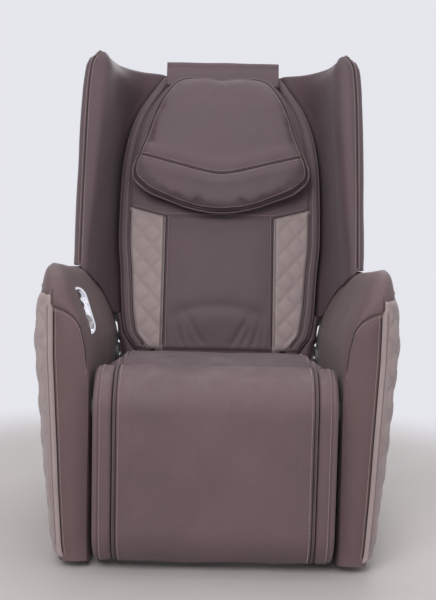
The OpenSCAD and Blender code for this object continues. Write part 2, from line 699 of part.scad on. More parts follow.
axle_y = 60;
roll_gap = 0.2;
guide_in = carriage_hw + 12;
guide_web = 6;
guide_out = guide_in + 28;
// Hair gap between the rail's web and the two flanges that are riveted to it
rail_joint = 0.1;
// C-section rail that the carriage's wheels run in: a web and two flanges
module guide_rail(s) {
  y0 = axle_y - guide_r - roll_gap;
  y1 = axle_y + guide_r + roll_gap;
  color(bright) side(s) back() translate([0, 0, 100]) {
    translate([guide_out - guide_web, y0 - 4, 0]) cube([guide_web, cross_y - y0 + 4, head_u - 104]);
    for (y = [[y0 - 4, y0], [y1, cross_y]]) translate([guide_in, y[0], 0])
      cube([guide_out - guide_web - rail_joint - guide_in, y[1] - y[0], head_u - 104]);
  }
}
module guide_rail_left() { guide_rail(-1); }
module guide_rail_right() { guide_rail(1); }

cover_hw = wing_top_hw - 50;
cover_lo = 60;
cover_mid = 268;
// Rear cover's outer curve [x, y], moved forward by d and cut at half width w
function cover_curve(w, d) = [for (i = [-8 : 8]) let (x = w * i / 8)
  [x, back_d - d - 10 * pow(abs(x) / cover_hw, 2.2)]];
module cover_band(w, u0, u1) {
  translate([0, 0, u0]) linear_extrude(u1 - u0)
    polygon(concat(cover_curve(w, 0), rev(cover_curve(w, shell_t))));
}
cap_hw = strap_hw + 4;
module rear_cover() {
  lo_hw = rail_out - 4;
  color(leather_dark) back() union() {
    cover_band(cover_hw, cover_mid, wing_l - 4);
    cover_band(lo_hw, cover_lo, cover_mid);
    for (s = [-1, 1]) side(s) translate([lo_hw - shell_t, cross_y + cross_t, cover_lo])
      cube([shell_t, back_d - 7 - shell_t - cross_y - cross_t, cover_mid - cover_lo]);
    cover_band(cap_hw, wing_l - 4, back_l);
    translate([-cap_hw, 12.3, back_l - 9]) cube([2 * cap_hw, back_d - 15, 9]);
    for (s = [-1, 1]) side(s) {
      // seat on the wing's rear face
      translate([rail_out - 12, back_d - 15, cover_mid]) cube([40, 4, wing_l - 4 - cover_mid]);
      // shoulder between the wing and the raised cap, and the cap's side wall
      translate([cap_hw - shell_t, 14, wing_l - 4]) cube([rail_out - 2 - cap_hw, back_d - 20, shell_t]);
      translate([cap_hw - shell_t, 14, wing_l - 4]) cube([shell_t, back_d - 20, back_l - wing_l]);
    }
  }
}

// ---------- wings ----------

cushion_lo = 6;
cushion_hi = back_l - 3;
cushion_tab = [for (t = [[cushion_lo, 196], [24, 203], [44, 218], [70, 225], [120, 231], [200, 236],
  [280, 243], [420, 242], [500, 235], [560, 222], [610, 202], [660, 170], [cushion_hi, 128]])
  [t[0], t[1] * half_seat / 243]];
wing_lo = 100;
// Outline [x, y] of a wing at height u; y runs backwards
function wing_ring(u, k) = let (
    xo = lerp(wing_hw, wing_top_hw, max(0, (u - 200) / (wing_l - 200))),
    xi = table(cushion_tab, u) + 6 + 2 * k,
    r = wing_reach - 3 * k,
    xt = xo - wing_t)
  [[rail_out, 95 - k], [xo - 50, 95 - k], [xo - 24 - k, 84], [xo - 8 - k, 44], [xo - k, -20],
   [xo - k, -90], [xo - 2 - k, -150], [xo - 6 - k, -(r - 26)], [xo - 11 - k, -(r - 8)],
   [xo - 19, -r], [xo - 27 + k / 2, -(r - 3)], [xt + k, -(r - 16)], [xt - 3 + k, -(r - 40)],
   [lerp(xi, xt, 0.86), -130], [lerp(xi, xt, 0.68), -92], [lerp(xi, xt, 0.44), -58],
   [lerp(xi, xt, 0.18), -26], [xi, -10], [xi, -0.2], [rail_out, 0]];
module wing_solid() {
  us = [wing_lo, 130, 170, 210, 260, 320, 380, 440, 500, 550, 590, 620, 650, wing_l - 20,
    wing_l - 6, wing_l];
  skin_rings([for (u = rev(us)) let (k = u > wing_l - 1 ? 7 : u > wing_l - 7 ? 2 : 0)
    [for (p = wing_ring(u, k)) [p[0], p[1], u]]], foot = [wing_hw - 50, 30, wing_lo]);
}
// Space that belongs to the armrest and its clearance, seen from the wing
module arm_keepout() {
  g = wing_gap;
  up = concat([[rail_out - 6, 60], [rail_out - 6, arm_r - 152 + g]],
    [for (p = arm_in) [p[0] - 0.6 * g, p[1] + g]],
    [[half_w + 20, arm_r + g], [half_w + 20, 60]]);
  function at(p, y, a) = let (b = y * cos(a) + p[1] * sin(a), c = p[1] * cos(a) - y * sin(a))
    [p[0], recline_y + b, recline_z + c];
  skin_rings([[for (p = up) at(p, -recline_y - arm_front, arm_slope)],
    each [for (a = [arm_slope : 5 : 90]) [for (p = up) at(p, 0, a)]]]);
}
module wing(s) {
  color(leather) side(s) difference() {
    back() wing_solid();
    arm_keepout();
  }
}
module wing_left() { wing(-1); }
module wing_right() { wing(1); }

// ---------- cushions ----------

// Outline points [x, u] of a symmetric cushion from a half width table
function outline(tab) = let (r = [for (t = tab) [t[1], t[0]]])
  concat(r, rev([for (p = r) [-p[0], p[1]]]));
// Ring of an outline moved in by d, at height n; w and h are its half sizes, c its middle
function inset_ring(o, d, n, w, h, c) =
  [for (p = o) [p[0] * (1 - d / w), -n, c + (p[1] - c) * (1 - d / h)]];
module back_cushion() {
  o = outline([for (i = [0 : 22]) let (u = lerp(cushion_lo, cushion_hi, i / 22))
    [u, (i == 22 ? -14 : 0) + table(cushion_tab, u)]]);
  e = cushion_t;
  f = cushion_t + cushion_crown;
  w = 243;
  h = (cushion_hi - cushion_lo) / 2;
  rows = [[14, soft_fit], [3, 4], [0, 12], [0, e - 12], [3, e - 4], [10, e], [22, e + 4],
    [27, e + 1.5], [32, e + 5], [60, lerp(e, f, 0.55)], [105, lerp(e, f, 0.8)], [108, lerp(e, f, 0.72)],
    [111, lerp(e, f, 0.82)], [170, f], [w * 0.96, f]];
  color(leather) back() skin_rings([for (r = rows) inset_ring(o, r[0], r[1], w, h, (cushion_hi + cushion_lo) / 2)]);
}
strap_front = cushion_t + cushion_crown;
hinge_u = back_l + soft_fit + strap_t / 2;
module pillow_strap() {
  color(leather) back() union() {
    translate([-strap_hw, -strap_front, back_l + soft_fit])
      cube([2 * strap_hw, strap_front + back_d + soft_fit + strap_t, strap_t]);
    translate([-strap_hw, back_d + soft_fit, back_l - 105]) cube([2 * strap_hw, strap_t, 106]);
  }
}
module head_pillow() {
  l = pillow_l;
  k = pillow_hw / 216;
  tab = [[0, 138], [5, 152], [20, 163], [74, 178], [115, 187], [151, 194], [202, 204], [250, 210],
    [280, 214], [296, 216], [308, 212], [318, 196], [332, 160], [346, 112], [357, 60], [362, 0]];
  top = hinge_u - flap_l;
  o = [for (p = outline([for (t = tab) [t[0], t[1] * k]])) [p[0], top - p[1] * l / 362]];
  n0 = strap_front + soft_fit;
  t = pillow_t;
  rows = [[30, n0], [8, n0 + 2], [2, n0 + 8], [0, n0 + 16], [1, n0 + 24], [7, n0 + 33],
    [16, n0 + 38], [20, n0 + 37], [24, n0 + 40], [50, n0 + t * 0.9], [100, n0 + t * 0.98],
    [150, n0 + t]];
  color(leather) back() union() {
    skin_rings([for (r = rev(rows)) inset_ring(o, r[0], r[1], 165, l / 2, top - l / 2)]);
    translate([-strap_hw, -n0 - strap_t, top - 14]) cube([2 * strap_hw, strap_t, flap_l + 14]);
    // rolled upper edge of the flap, which the pillow folds about
    xcyl(-strap_hw, strap_hw, -n0 - strap_t / 2, hinge_u, strap_t / 2);
  }
}

// ---------- massage unit ----------

guide_v = carriage_hh - 16;
module massage_carriage() {
  color(black) back() translate([0, 0, carriage_u]) difference() {
    union() {
      translate([-carriage_hw, 72, -carriage_hh]) cube([2 * carriage_hw, 4, 2 * carriage_hh]);
      for (s = [-1, 1]) side(s) translate([carriage_hw - 8, 46, -carriage_hh])
        cube([8, 28, 2 * carriage_hh]);
      for (s = [-1, 1]) translate([s * arm_pivot_x, 73, 0]) rotate([90, 0, 0])
        cylinder(r = 6, h = 44);
    }
    for (v = [-guide_v, guide_v]) xcyl(-carriage_hw - 1, carriage_hw + 1, axle_y, v, guide_axle_r + run_fit);
    translate([-40, 71, -carriage_hh + 6]) cube([80, 6, 24]);
  }
}
module massage_motor() {
  color(grey) back() translate([0, 0, carriage_u]) union() {
    xcyl(-40, 40, 51, -6, 21);
    translate([-20, 30, -16]) cube([40, 42, 20]);
  }
}
module travel_motor() {
  color(grey) back() translate([0, 0, carriage_u]) union() {
    translate([84, 34, -20]) cube([50, 38, 40]);
    xcyl(60 + 20, 84, 60, 0, 6);
  }
}
module guide_axle(v) {
  color(bright) back() union() {
    xcyl(-guide_in - 18, guide_in + 18, axle_y, carriage_u + v, guide_axle_r);
    for (s = [-1, 1]) side(s) difference() {
      xcyl(guide_in + 2, guide_in + 18, axle_y, carriage_u + v, guide_r);
      for (a = [0 : 60 : 300]) xcyl(guide_in + 14, guide_in + 20, axle_y + 9 * cos(a),
        carriage_u + v + 9 * sin(a), 2);
    }
  }
}
module guide_axle_upper() { guide_axle(guide_v); }
module guide_axle_lower() { guide_axle(-guide_v); }
roller_y = roller_r + 4;
module massage_arm(s) {
  color(steel) side(s) back() translate([arm_pivot_x, 0, carriage_u]) difference() {
    union() {
      translate([-4, 14, -arm_reach - 10]) cube([6, 26, 2 * arm_reach + 20]);
      translate([0, 68, 0]) rotate([90, 0, 0]) cylinder(r = 13, h = 36);
      for (v = [-arm_reach, arm_reach]) xcyl(1, 3 + roller_w + 2, roller_y, v, roller_axle_r);
    }
    translate([0, 75, 0]) rotate([90, 0, 0]) cylinder(r = 6 + run_fit, h = 80);
  }
}
module massage_arm_left() { massage_arm(-1); }
module massage_arm_right() { massage_arm(1); }
module massage_roller(s, v) {
  r = roller_r;
  w = roller_w;
  color(taupe) side(s) back() translate([arm_pivot_x + 3, roller_y, carriage_u + v])
    rotate([90, 0, 90]) rotate_extrude() polygon(concat([[roller_axle_r + run_fit, 0]],
      [for (a = [-60 : 15 : 60]) [r - 8 + 8 * (cos(a) - 0.5) * 2, w / 2 + w / 2 * sin(a) / sin(60)]],
      [[roller_axle_r + run_fit, w]]));
}
module massage_roller_ul() { massage_roller(-1, arm_reach); }
module massage_roller_ur() { massage_roller(1, arm_reach); }
module massage_roller_ll() { massage_roller(-1, -arm_reach); }
module massage_roller_lr() { massage_roller(1, -arm_reach); }

// ---------- recline actuator ----------

// Rod eye at rest, where the back frame's cross tube passes
eye_y = recline_y + act_n * cos(back_lean) + act_u * sin(back_lean);
eye_z = recline_z - act_n * sin(back_lean) + act_u * cos(back_lean);
act_len = sqrt(pow(eye_y - act_y, 2) + pow(eye_z - act_z, 2));
act_ang = atan2(eye_z - act_z, eye_y - act_y);
eye_in = act_pin_r + act_eye_play;
// Frame of the actuator: Z along the rod from the foot pivot, X across
module act() {
  translate([0, act_y, act_z]) rotate([-(90 - act_ang), 0, 0]) children();
}
module actuator_foot() {
  color(steel) union() {
    for (s = [-1, 1]) side(s) across(22, 28)
      polygon([[act_y - 30, tray_z + tray_t], [act_y + 30, tray_z + tray_t],
        [act_y + 12, act_z + 10], [act_y - 12, act_z + 10]]);
    xcyl(-28, 28, act_y, act_z, act_pin_r);
  }
}
module actuator_tube() {
  color(black) act() difference() {
    union() {
      xcyl(-21.7, 21.7, 0, 0, act_pin_r + 10);
      cylinder(r = act_tube_r, h = act_len - 62);
      translate([0, -34, 12]) cylinder(r = 17, h = 96);
      translate([-14, -34, 10]) cube([28, 34, 26]);
    }
    xcyl(-23, 23, 0, 0, act_pin_r + run_fit);
    translate([0, 0, 24]) cylinder(r = act_rod_r + run_fit, h = act_len);
  }
}
module actuator_rod() {
  color(bright) act() difference() {
    union() {
      translate([0, 0, 80]) cylinder(r = act_rod_r, h = act_len - 80 - eye_in);
      xcyl(-9, 9, 0, act_len, eye_in + 6);
    }
    xcyl(-10, 10, 0, act_len, eye_in);
  }
}

base_frame();
side_plate_left();
side_plate_right();
floor_glides();
recline_pins();
lift_pins();
armrest_left();
armrest_right();
side_panel_left();
side_panel_right();
rear_skirt();
electronics_tray();
control_box();
air_pump();
air_valves();
power_inlet();
power_switch();
transport_wheel_left();
transport_wheel_right();
wheel_axle();
seat_pan();
seat_cushion();
controller_bezel();
controller_dial();
controller_button_up();
controller_button_down();
actuator_foot();
actuator_tube();
actuator_rod();
leg_arm_left();
leg_arm_right();
flip_shaft();
calf_core();
calf_pad();
calf_lining_left();
calf_lining_right();
back_frame();
guide_rail_left();
guide_rail_right();
rear_cover();
wing_left();
wing_right();
back_cushion();
pillow_strap();
head_pillow();
massage_carriage();
massage_motor();
travel_motor();
guide_axle_upper();
guide_axle_lower();
massage_arm_left();
massage_arm_right();
massage_roller_ul();
massage_roller_ur();
massage_roller_ll();
massage_roller_lr();
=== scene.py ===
"""Looks of a massage armchair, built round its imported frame.

Each sub-assembly is a class that holds its sizes in metres and has methods that build its
meshes and dress them. Local coordinates of the backrest are (x, n, u): across, out of the
back's face, and up along the back from the recline pivot.
"""

import json
import logging
import math
from dataclasses import dataclass, field
from enum import Enum
from typing import Callable, Sequence

import bpy
import numpy as np
from mathutils import Matrix, Vector
from mathutils.bvhtree import BVHTree


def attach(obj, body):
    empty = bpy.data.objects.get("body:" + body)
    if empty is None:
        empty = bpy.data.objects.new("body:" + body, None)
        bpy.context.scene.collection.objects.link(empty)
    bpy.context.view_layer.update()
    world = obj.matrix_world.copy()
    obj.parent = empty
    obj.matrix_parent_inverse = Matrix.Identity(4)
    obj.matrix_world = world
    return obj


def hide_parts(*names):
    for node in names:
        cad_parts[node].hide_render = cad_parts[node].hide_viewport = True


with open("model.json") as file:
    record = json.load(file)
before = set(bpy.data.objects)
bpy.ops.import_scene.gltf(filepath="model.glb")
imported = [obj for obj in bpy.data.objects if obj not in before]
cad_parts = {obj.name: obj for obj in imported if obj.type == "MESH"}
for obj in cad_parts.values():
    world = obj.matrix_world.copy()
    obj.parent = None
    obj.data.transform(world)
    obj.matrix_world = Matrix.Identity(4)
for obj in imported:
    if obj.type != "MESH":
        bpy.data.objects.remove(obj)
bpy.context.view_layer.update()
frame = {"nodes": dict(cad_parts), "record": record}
LOG = logging.getLogger("massage_chair")

Array = np.ndarray
Table = Sequence[tuple[float, float]]
Rgb = tuple[int, int, int]
Material = bpy.types.Material
Object = bpy.types.Object
Socket = bpy.types.NodeSocket
Sockets = dict[str, Socket]
Tree = bpy.types.NodeTree
Getter = Callable[[str], Socket]


# y and z of the recline pivot, in metres
PIVOT = (0.130, 0.330)


class Side(Enum):
    """Side of the chair as its own sitter sees it from the front."""

    LEFT = -1
    RIGHT = 1

    @property
    def word(self) -> str:
        """Name used in piece names."""
        return self.name.lower()


# ---------------------------------------------------------------- numbers and curves


def lookup(table: Table, x: Array | float) -> Array:
    """Value of a table at x, with straight lines between its rows."""
    keys, values = zip(*table)
    return np.interp(x, keys, values)


def mix(a: Array | float, b: Array | float, t: Array | float) -> Array:
    """Point or value at share t of the way from a to b."""
    return a + (b - a) * t


def smooth(x: Array | float, lo: float, hi: float) -> Array:
    """Smooth step from 0 at lo to 1 at hi."""
    t = np.clip((np.asarray(x, float) - lo) / (hi - lo), 0, 1)
    return t * t * (3 - 2 * t)


def bump(x: Array | float, width: float) -> Array:
    """Bell of height 1 about x = 0."""
    return np.exp(-np.square(np.asarray(x, float) / width))


def spline(knots: Sequence[Sequence[float]], per: int = 8) -> Array:
    """Smooth curve through its knots.

    Args:
        knots: Control points, two or three numbers each.
        per: Steps between one control point and the next.

    Returns:
        The curve's points, one per row.
    """
    p = np.asarray(knots, float)
    pad = np.vstack([2 * p[0] - p[1], p, 2 * p[-1] - p[-2]])
    t = (np.arange(per) / per)[:, None]
    out = []
    for i in range(1, len(pad) - 2):
        a, b, c, d = pad[i - 1 : i + 3]
        out.append(0.5 * (2 * b + (c - a) * t + (2 * a - 5 * b + 4 * c - d) * t**2
                          + (3 * b - a - 3 * c + d) * t**3))
    return np.vstack([*out, p[-1:]])


def points(*parts: Array | float) -> Array:
    """Points from their coordinates, each of them a number or an array."""
    return np.stack(np.broadcast_arrays(*(np.asarray(p, float) for p in parts)), -1)


def unit(v: Array) -> Array:
    """Vectors brought to length 1."""
    return v / np.maximum(np.linalg.norm(v, axis=-1, keepdims=True), 1e-12)


def spaced(path: Array, count: int, values: Array | None = None) -> Array:
    """A path cut into equal steps.

    Args:
        path: Points of the path.
        count: How many points to return.
        values: Rows that belong to the path's points, wanted instead of the points.

    Returns:
        The points or the values at equal steps, one row each.
    """
    s = np.r_[0, np.cumsum(np.linalg.norm(np.diff(path, axis=0), axis=1))]
    at = np.linspace(0, s[-1], count)
    rows = path if values is None else values
    return np.stack([np.interp(at, s, rows[:, k]) for k in range(rows.shape[1])], 1)


def length(path: Array) -> float:
    """Length of a path."""
    return float(np.linalg.norm(np.diff(path, axis=0), axis=1).sum())


def normals_of(p: Array) -> Array:
    """Unit normals of a grid of points, from its rows and columns."""
    return unit(np.cross(np.gradient(p, axis=0), np.gradient(p, axis=1)))


def diamonds(a: Array, b: Array) -> Array:
    """Swell of diamond quilting, 0 where a or b is whole and 1 between the seams."""
    return np.sqrt(np.abs(np.sin(np.pi * a) * np.sin(np.pi * b)))


def ripple(p: Array, size: float, seed: float) -> Array:
    """Slow, even unevenness of stuffed leather, from -1 to 1.

    Args:
        p: Points, the last axis x, y, z.
        size: About how far apart two swells are.
        seed: Any number; each piece has its own.

    Returns:
        One value for each point.
    """
    x, y, z = (p[..., k] / size for k in range(3))
    return (np.sin(2.1 * x + 1.7 * z + seed) * np.cos(1.9 * y - 1.3 * z + 2 * seed)
            + 0.5 * np.sin(3.7 * z - 2.9 * x + 3 * seed) * np.sin(3.1 * y + 2.3 * x + seed)) / 1.5


# ---------------------------------------------------------------- meshes

UNLIKE_ANY_SEAM = np.array([0.31, 0.17, 0.93])


class Skin:
    """Vertices and faces of one piece, gathered before its mesh is made."""

    def __init__(self) -> None:
        """Starts with nothing in it."""
        self.points: list[Array] = []
        self.faces: list[tuple[int, ...]] = []
        self.total = 0

    def add(self, p: Array) -> Array:
        """Adds points and returns their indices in the same shape.

        Args:
            p: Points, the last axis x, y, z.

        Returns:
            Their indices.
        """
        flat = np.asarray(p, float).reshape(-1, 3)
        first = self.total
        self.points.append(flat)
        self.total += len(flat)
        return np.arange(first, self.total).reshape(np.asarray(p).shape[:-1])

    def join(self, i: Array, wrap: bool = False, flip: bool = False,
             other: Array | None = None) -> None:
        """Makes the faces between the rows of a grid of indices.

        Args:
            i: Indices, rows by columns.
            wrap: Joins the last column to the first.
            flip: Turns the faces round.
            other: Where true, a cell is cut into triangles along its other diagonal.
        """
        a, b = i[:-1], i[1:]
        if wrap:
            a, b = np.c_[a, a[:, :1]], np.c_[b, b[:, :1]]
        q = np.stack([a[:, :-1], a[:, 1:], b[:, 1:], b[:, :-1]], -1)
        if flip:
            q = q[..., ::-1]
        if other is None:
            self.faces += map(tuple, q.reshape(-1, 4).tolist())
            return
        o = other.reshape(-1)
        q = q.reshape(-1, 4)
        self.faces += map(tuple, q[~o][:, [0, 1, 2]].tolist())
        self.faces += map(tuple, q[~o][:, [0, 2, 3]].tolist())
        self.faces += map(tuple, q[o][:, [0, 1, 3]].tolist())
        self.faces += map(tuple, q[o][:, [1, 2, 3]].tolist())

    def grid(self, p: Array, wrap: bool = False, flip: bool = False,
             other: Array | None = None) -> Array:
        """Adds a grid of points with its faces and returns its indices."""
        i = self.add(p)
        self.join(i, wrap, flip, other)
        return i

    def fan(self, ring: Array, flip: bool = False) -> None:
        """Closes a ring of indices with triangles about its middle.

        Args:
            ring: Indices of the ring.
            flip: Turns the faces round.
        """
        flat = np.vstack(self.points)
        hub = self.add(flat[ring].mean(0)[None])[0]
        nxt = np.roll(ring, -1)
        for a, b in zip(ring.tolist(), nxt.tolist()):
            self.faces.append((hub, b, a) if flip else (hub, a, b))

    def tube(self, path: Array, radius: float, sides: int = 8, closed: bool = False) -> None:
        """Adds a round cord along a path, with tapered ends where it is open.

        Args:
            path: Middle of the cord.
            radius: Half the cord's width.
            sides: Corners of its section.
            closed: Joins its end to its start.
        """
        p = np.asarray(path, float)
        t = unit(np.roll(p, -1, 0) - np.roll(p, 1, 0) if closed else np.gradient(p, axis=0))
        a = unit(np.cross(t, UNLIKE_ANY_SEAM))
        b = np.cross(t, a)
        ang = np.linspace(0, 2 * np.pi, sides, endpoint=False)[None, :, None]
        r = np.full((len(p), 1, 1), radius)
        if not closed:
            r[0] = r[-1] = radius * 0.35
        i = self.add(p[:, None] + (a[:, None] * np.cos(ang) + b[:, None] * np.sin(ang)) * r)
        if closed:
            i = np.vstack([i, i[:1]])
        self.join(i, wrap=True, flip=True)
        if not closed:
            self.fan(i[0])
            self.fan(i[-1], flip=True)

    def stitches(self, path: Array, normals: Array, pitch: float = 0.005,
                 size: float = 0.0034, radius: float = 0.0011) -> None:
        """Adds a row of thread stitches that lie on a surface.

        Args:
            path: Line that the row follows.
            normals: The surface's normal at each point of the line.
            pitch: Distance from one stitch to the next.
            size: Length of one stitch.
            radius: Half the thread's width.
        """
        count = max(2, int(length(path) / pitch) + 1)
        c, n = spaced(path, count), unit(spaced(path, count, normals))
        t = unit(np.gradient(c, axis=0))
        s = unit(np.cross(t, n))
        n = np.cross(s, t)
        along, thick, sink = (np.array(v)[:, None] for v in (
            (-0.5 * size, -0.3 * size, 0.3 * size, 0.5 * size),
            (0.35 * radius, radius, radius, 0.35 * radius),
            (-0.6 * radius, 0.2 * radius, 0.2 * radius, -0.6 * radius)))
        ang = np.arange(5) * 2 * np.pi / 5
        c, t, n, s = (v[:, None, None] for v in (c, t, n, s))
        i = self.add(c + t * along[..., None] + n * (sink + np.sin(ang) * thick)[..., None]
                     + s * (np.cos(ang) * thick)[..., None])
        a, b = i[:, :-1], i[:, 1:]
        a2, b2 = np.roll(a, -1, 2), np.roll(b, -1, 2)
        self.faces += map(tuple, np.stack([a, a2, b2, b], -1).reshape(-1, 4).tolist())
        self.faces += map(tuple, i[:, 0, ::-1].tolist())
        self.faces += map(tuple, i[:, -1].tolist())

    def make(self, name: str, material: Material, soft: bool = True,
             values: dict[str, Array] | None = None) -> Object:
        """Makes the object.

        Args:
            name: The piece's name.
            material: Its finish.
            soft: Shades it smooth.
            values: Point attributes by name, one or three numbers a point.

        Returns:
            The new object, linked to the scene.
        """
        mesh = bpy.data.meshes.new(name)
        mesh.from_pydata(np.vstack(self.points).tolist(), [], self.faces)
        mesh.validate()
        for key, v in (values or {}).items():
            kind = "FLOAT" if v.ndim == 1 else "FLOAT_VECTOR"
            a = mesh.attributes.new(key, kind, "POINT")
            a.data.foreach_set("value" if v.ndim == 1 else "vector", v.astype(np.float32).ravel())
        mesh.materials.append(material)
        mesh.shade_smooth() if soft else mesh.shade_flat()
        obj = bpy.data.objects.new(name, mesh)
        bpy.context.scene.collection.objects.link(obj)
        return obj


def coords(obj: Object) -> Array:
    """Vertex positions of a mesh object.

    Args:
        obj: The mesh object.

    Returns:
        One row for each vertex.
    """
    co = np.zeros(len(obj.data.vertices) * 3, np.float32)
    obj.data.vertices.foreach_get("co", co)
    return co.reshape(-1, 3).astype(float)


def set_coords(obj: Object, p: Array) -> None:
    """Moves a mesh object's vertices."""
    obj.data.vertices.foreach_set("co", p.astype(np.float32).ravel())
    obj.data.update()


def vertex_normals(obj: Object) -> Array:
    """Vertex normals of a mesh object.

    Args:
        obj: The mesh object.

    Returns:
        One row for each vertex.
    """
    n = np.zeros(len(obj.data.vertices) * 3, np.float32)
    obj.data.vertices.foreach_get("normal", n)
    return n.reshape(-1, 3).astype(float)


def apply_modifiers(obj: Object) -> None:
    """Keeps what the modifiers make as the object's own mesh.

    Args:
        obj: Object whose modifiers are used up.
    """
    dg = bpy.context.evaluated_depsgraph_get()
    made = bpy.data.meshes.new_from_object(obj.evaluated_get(dg), depsgraph=dg)
    obj.modifiers.clear()
    old, obj.data = obj.data, made
    bpy.data.meshes.remove(old)


class Surface:
    """A finished mesh that seams and stitches are laid on."""

    def __init__(self, obj: Object) -> None:
        """Reads the object's mesh."""
        me = obj.data
        co = coords(obj)
        self.tree = BVHTree.FromPolygons(co.tolist(), [tuple(p.vertices) for p in me.polygons])

    def drop(self, starts: Array, direction: Array, lift: float = 0.0) -> tuple[Array, Array]:
        """Finds where rays meet the surface.

        Args:
            starts: Where each ray starts.
            direction: Where they go, one vector for all or one each.
            lift: How far above the surface the result stands.

        Returns:
            The points met, and the normals there; a ray that misses is left out.
        """
        d = np.broadcast_to(np.asarray(direction, float), np.shape(starts))
        hits, norms = [], []
        for p, v in zip(starts, d):
            at, n, _, _ = self.tree.ray_cast(Vector(p), Vector(v))
            if at is not None:
                n = -n if n.dot(Vector(v)) > 0 else n
                hits.append(at + n * lift)
                norms.append(n)
        return np.array(hits, float), np.array(norms, float)

    def near(self, places: Array, lift: float = 0.0) -> tuple[Array, Array]:
        """The closest points of the surface, lifted, and their normals.

        Args:
            places: Where to look from.
            lift: How far above the surface the result stands.

        Returns:
            The closest points, and the normals there.
        """
        hits, norms = [], []
        for p in places:
            at, n, _, _ = self.tree.find_nearest(Vector(p))
            hits.append(at + n * lift)
            norms.append(n)
        return np.array(hits, float), np.array(norms, float)

    def sew(self, row: Skin, path: Array, way: Array, lift: float = 0.0002) -> None:
        """Adds stitches to a row where a path falls on the surface."""
        row.stitches(*self.drop(path, way, lift))

    def press(self, fold: Skin, path: Array, way: Array, radius: float, lift: float = 0.0) -> None:
        """Adds a dark cord of painted shade for a seam's fold, where a path falls on the surface."""
        fold.tube(self.drop(path, way, lift)[0], radius, 6)


def inflate(obj: Object, voxel: float, pressure: float, cap: float,
            keep: Callable[[Array], Array]) -> None:
    """Swells a closed form as stuffing does, by a cloth simulation that is then applied.

    Args:
        obj: The closed form, slightly smaller than the finished piece.
        voxel: Size of the even mesh that it is remade with.
        pressure: Pressure of the stuffing.
        cap: Furthest that a point may move.
        keep: Takes the swollen points and returns them held inside the piece's space.
    """
    m = obj.modifiers.new("even", "REMESH")
    m.mode, m.voxel_size, m.use_smooth_shade = "VOXEL", voxel, True
    apply_modifiers(obj)
    before = coords(obj)
    m = obj.modifiers.new("stuffing", "CLOTH")
    s = m.settings
    s.quality = 4
    s.mass = 0.3
    s.tension_stiffness = s.compression_stiffness = 12
    s.bending_stiffness = 2.5
    s.use_pressure = True
    s.uniform_pressure_force = pressure
    s.effector_weights.gravity = 0
    m.collision_settings.use_collision = False
    m.collision_settings.use_self_collision = False
    m.point_cache.frame_start, m.point_cache.frame_end = 1, 20
    scene = bpy.context.scene
    for f in range(1, 21):
        scene.frame_set(f)
    apply_modifiers(obj)
    moved = coords(obj) - before
    far = np.linalg.norm(moved, axis=1, keepdims=True)
    set_coords(obj, before + moved * np.minimum(1, cap / np.maximum(far, 1e-9)))
    scene.frame_set(1)
    relax = obj.modifiers.new("relax", "SMOOTH")
    relax.factor, relax.iterations = 0.5, 6
    sub = obj.modifiers.new("fine", "SUBSURF")
    sub.levels = sub.render_levels = 1
    apply_modifiers(obj)
    set_coords(obj, keep(coords(obj)))
    obj.data.shade_smooth()


# ---------------------------------------------------------------- shader node groups


def linear(rgb: Sequence[int]) -> tuple[float, float, float, float]:
    """Colour written as 0 to 255 in sRGB, as Blender's linear colour.

    Args:
        rgb: Red, green and blue.

    Returns:
        The colour with an alpha of 1.
    """
    c = [v / 255 for v in rgb]
    out = [v / 12.92 if v <= 0.04045 else ((v + 0.055) / 1.055) ** 2.4 for v in c]
    return (out[0], out[1], out[2], 1.0)


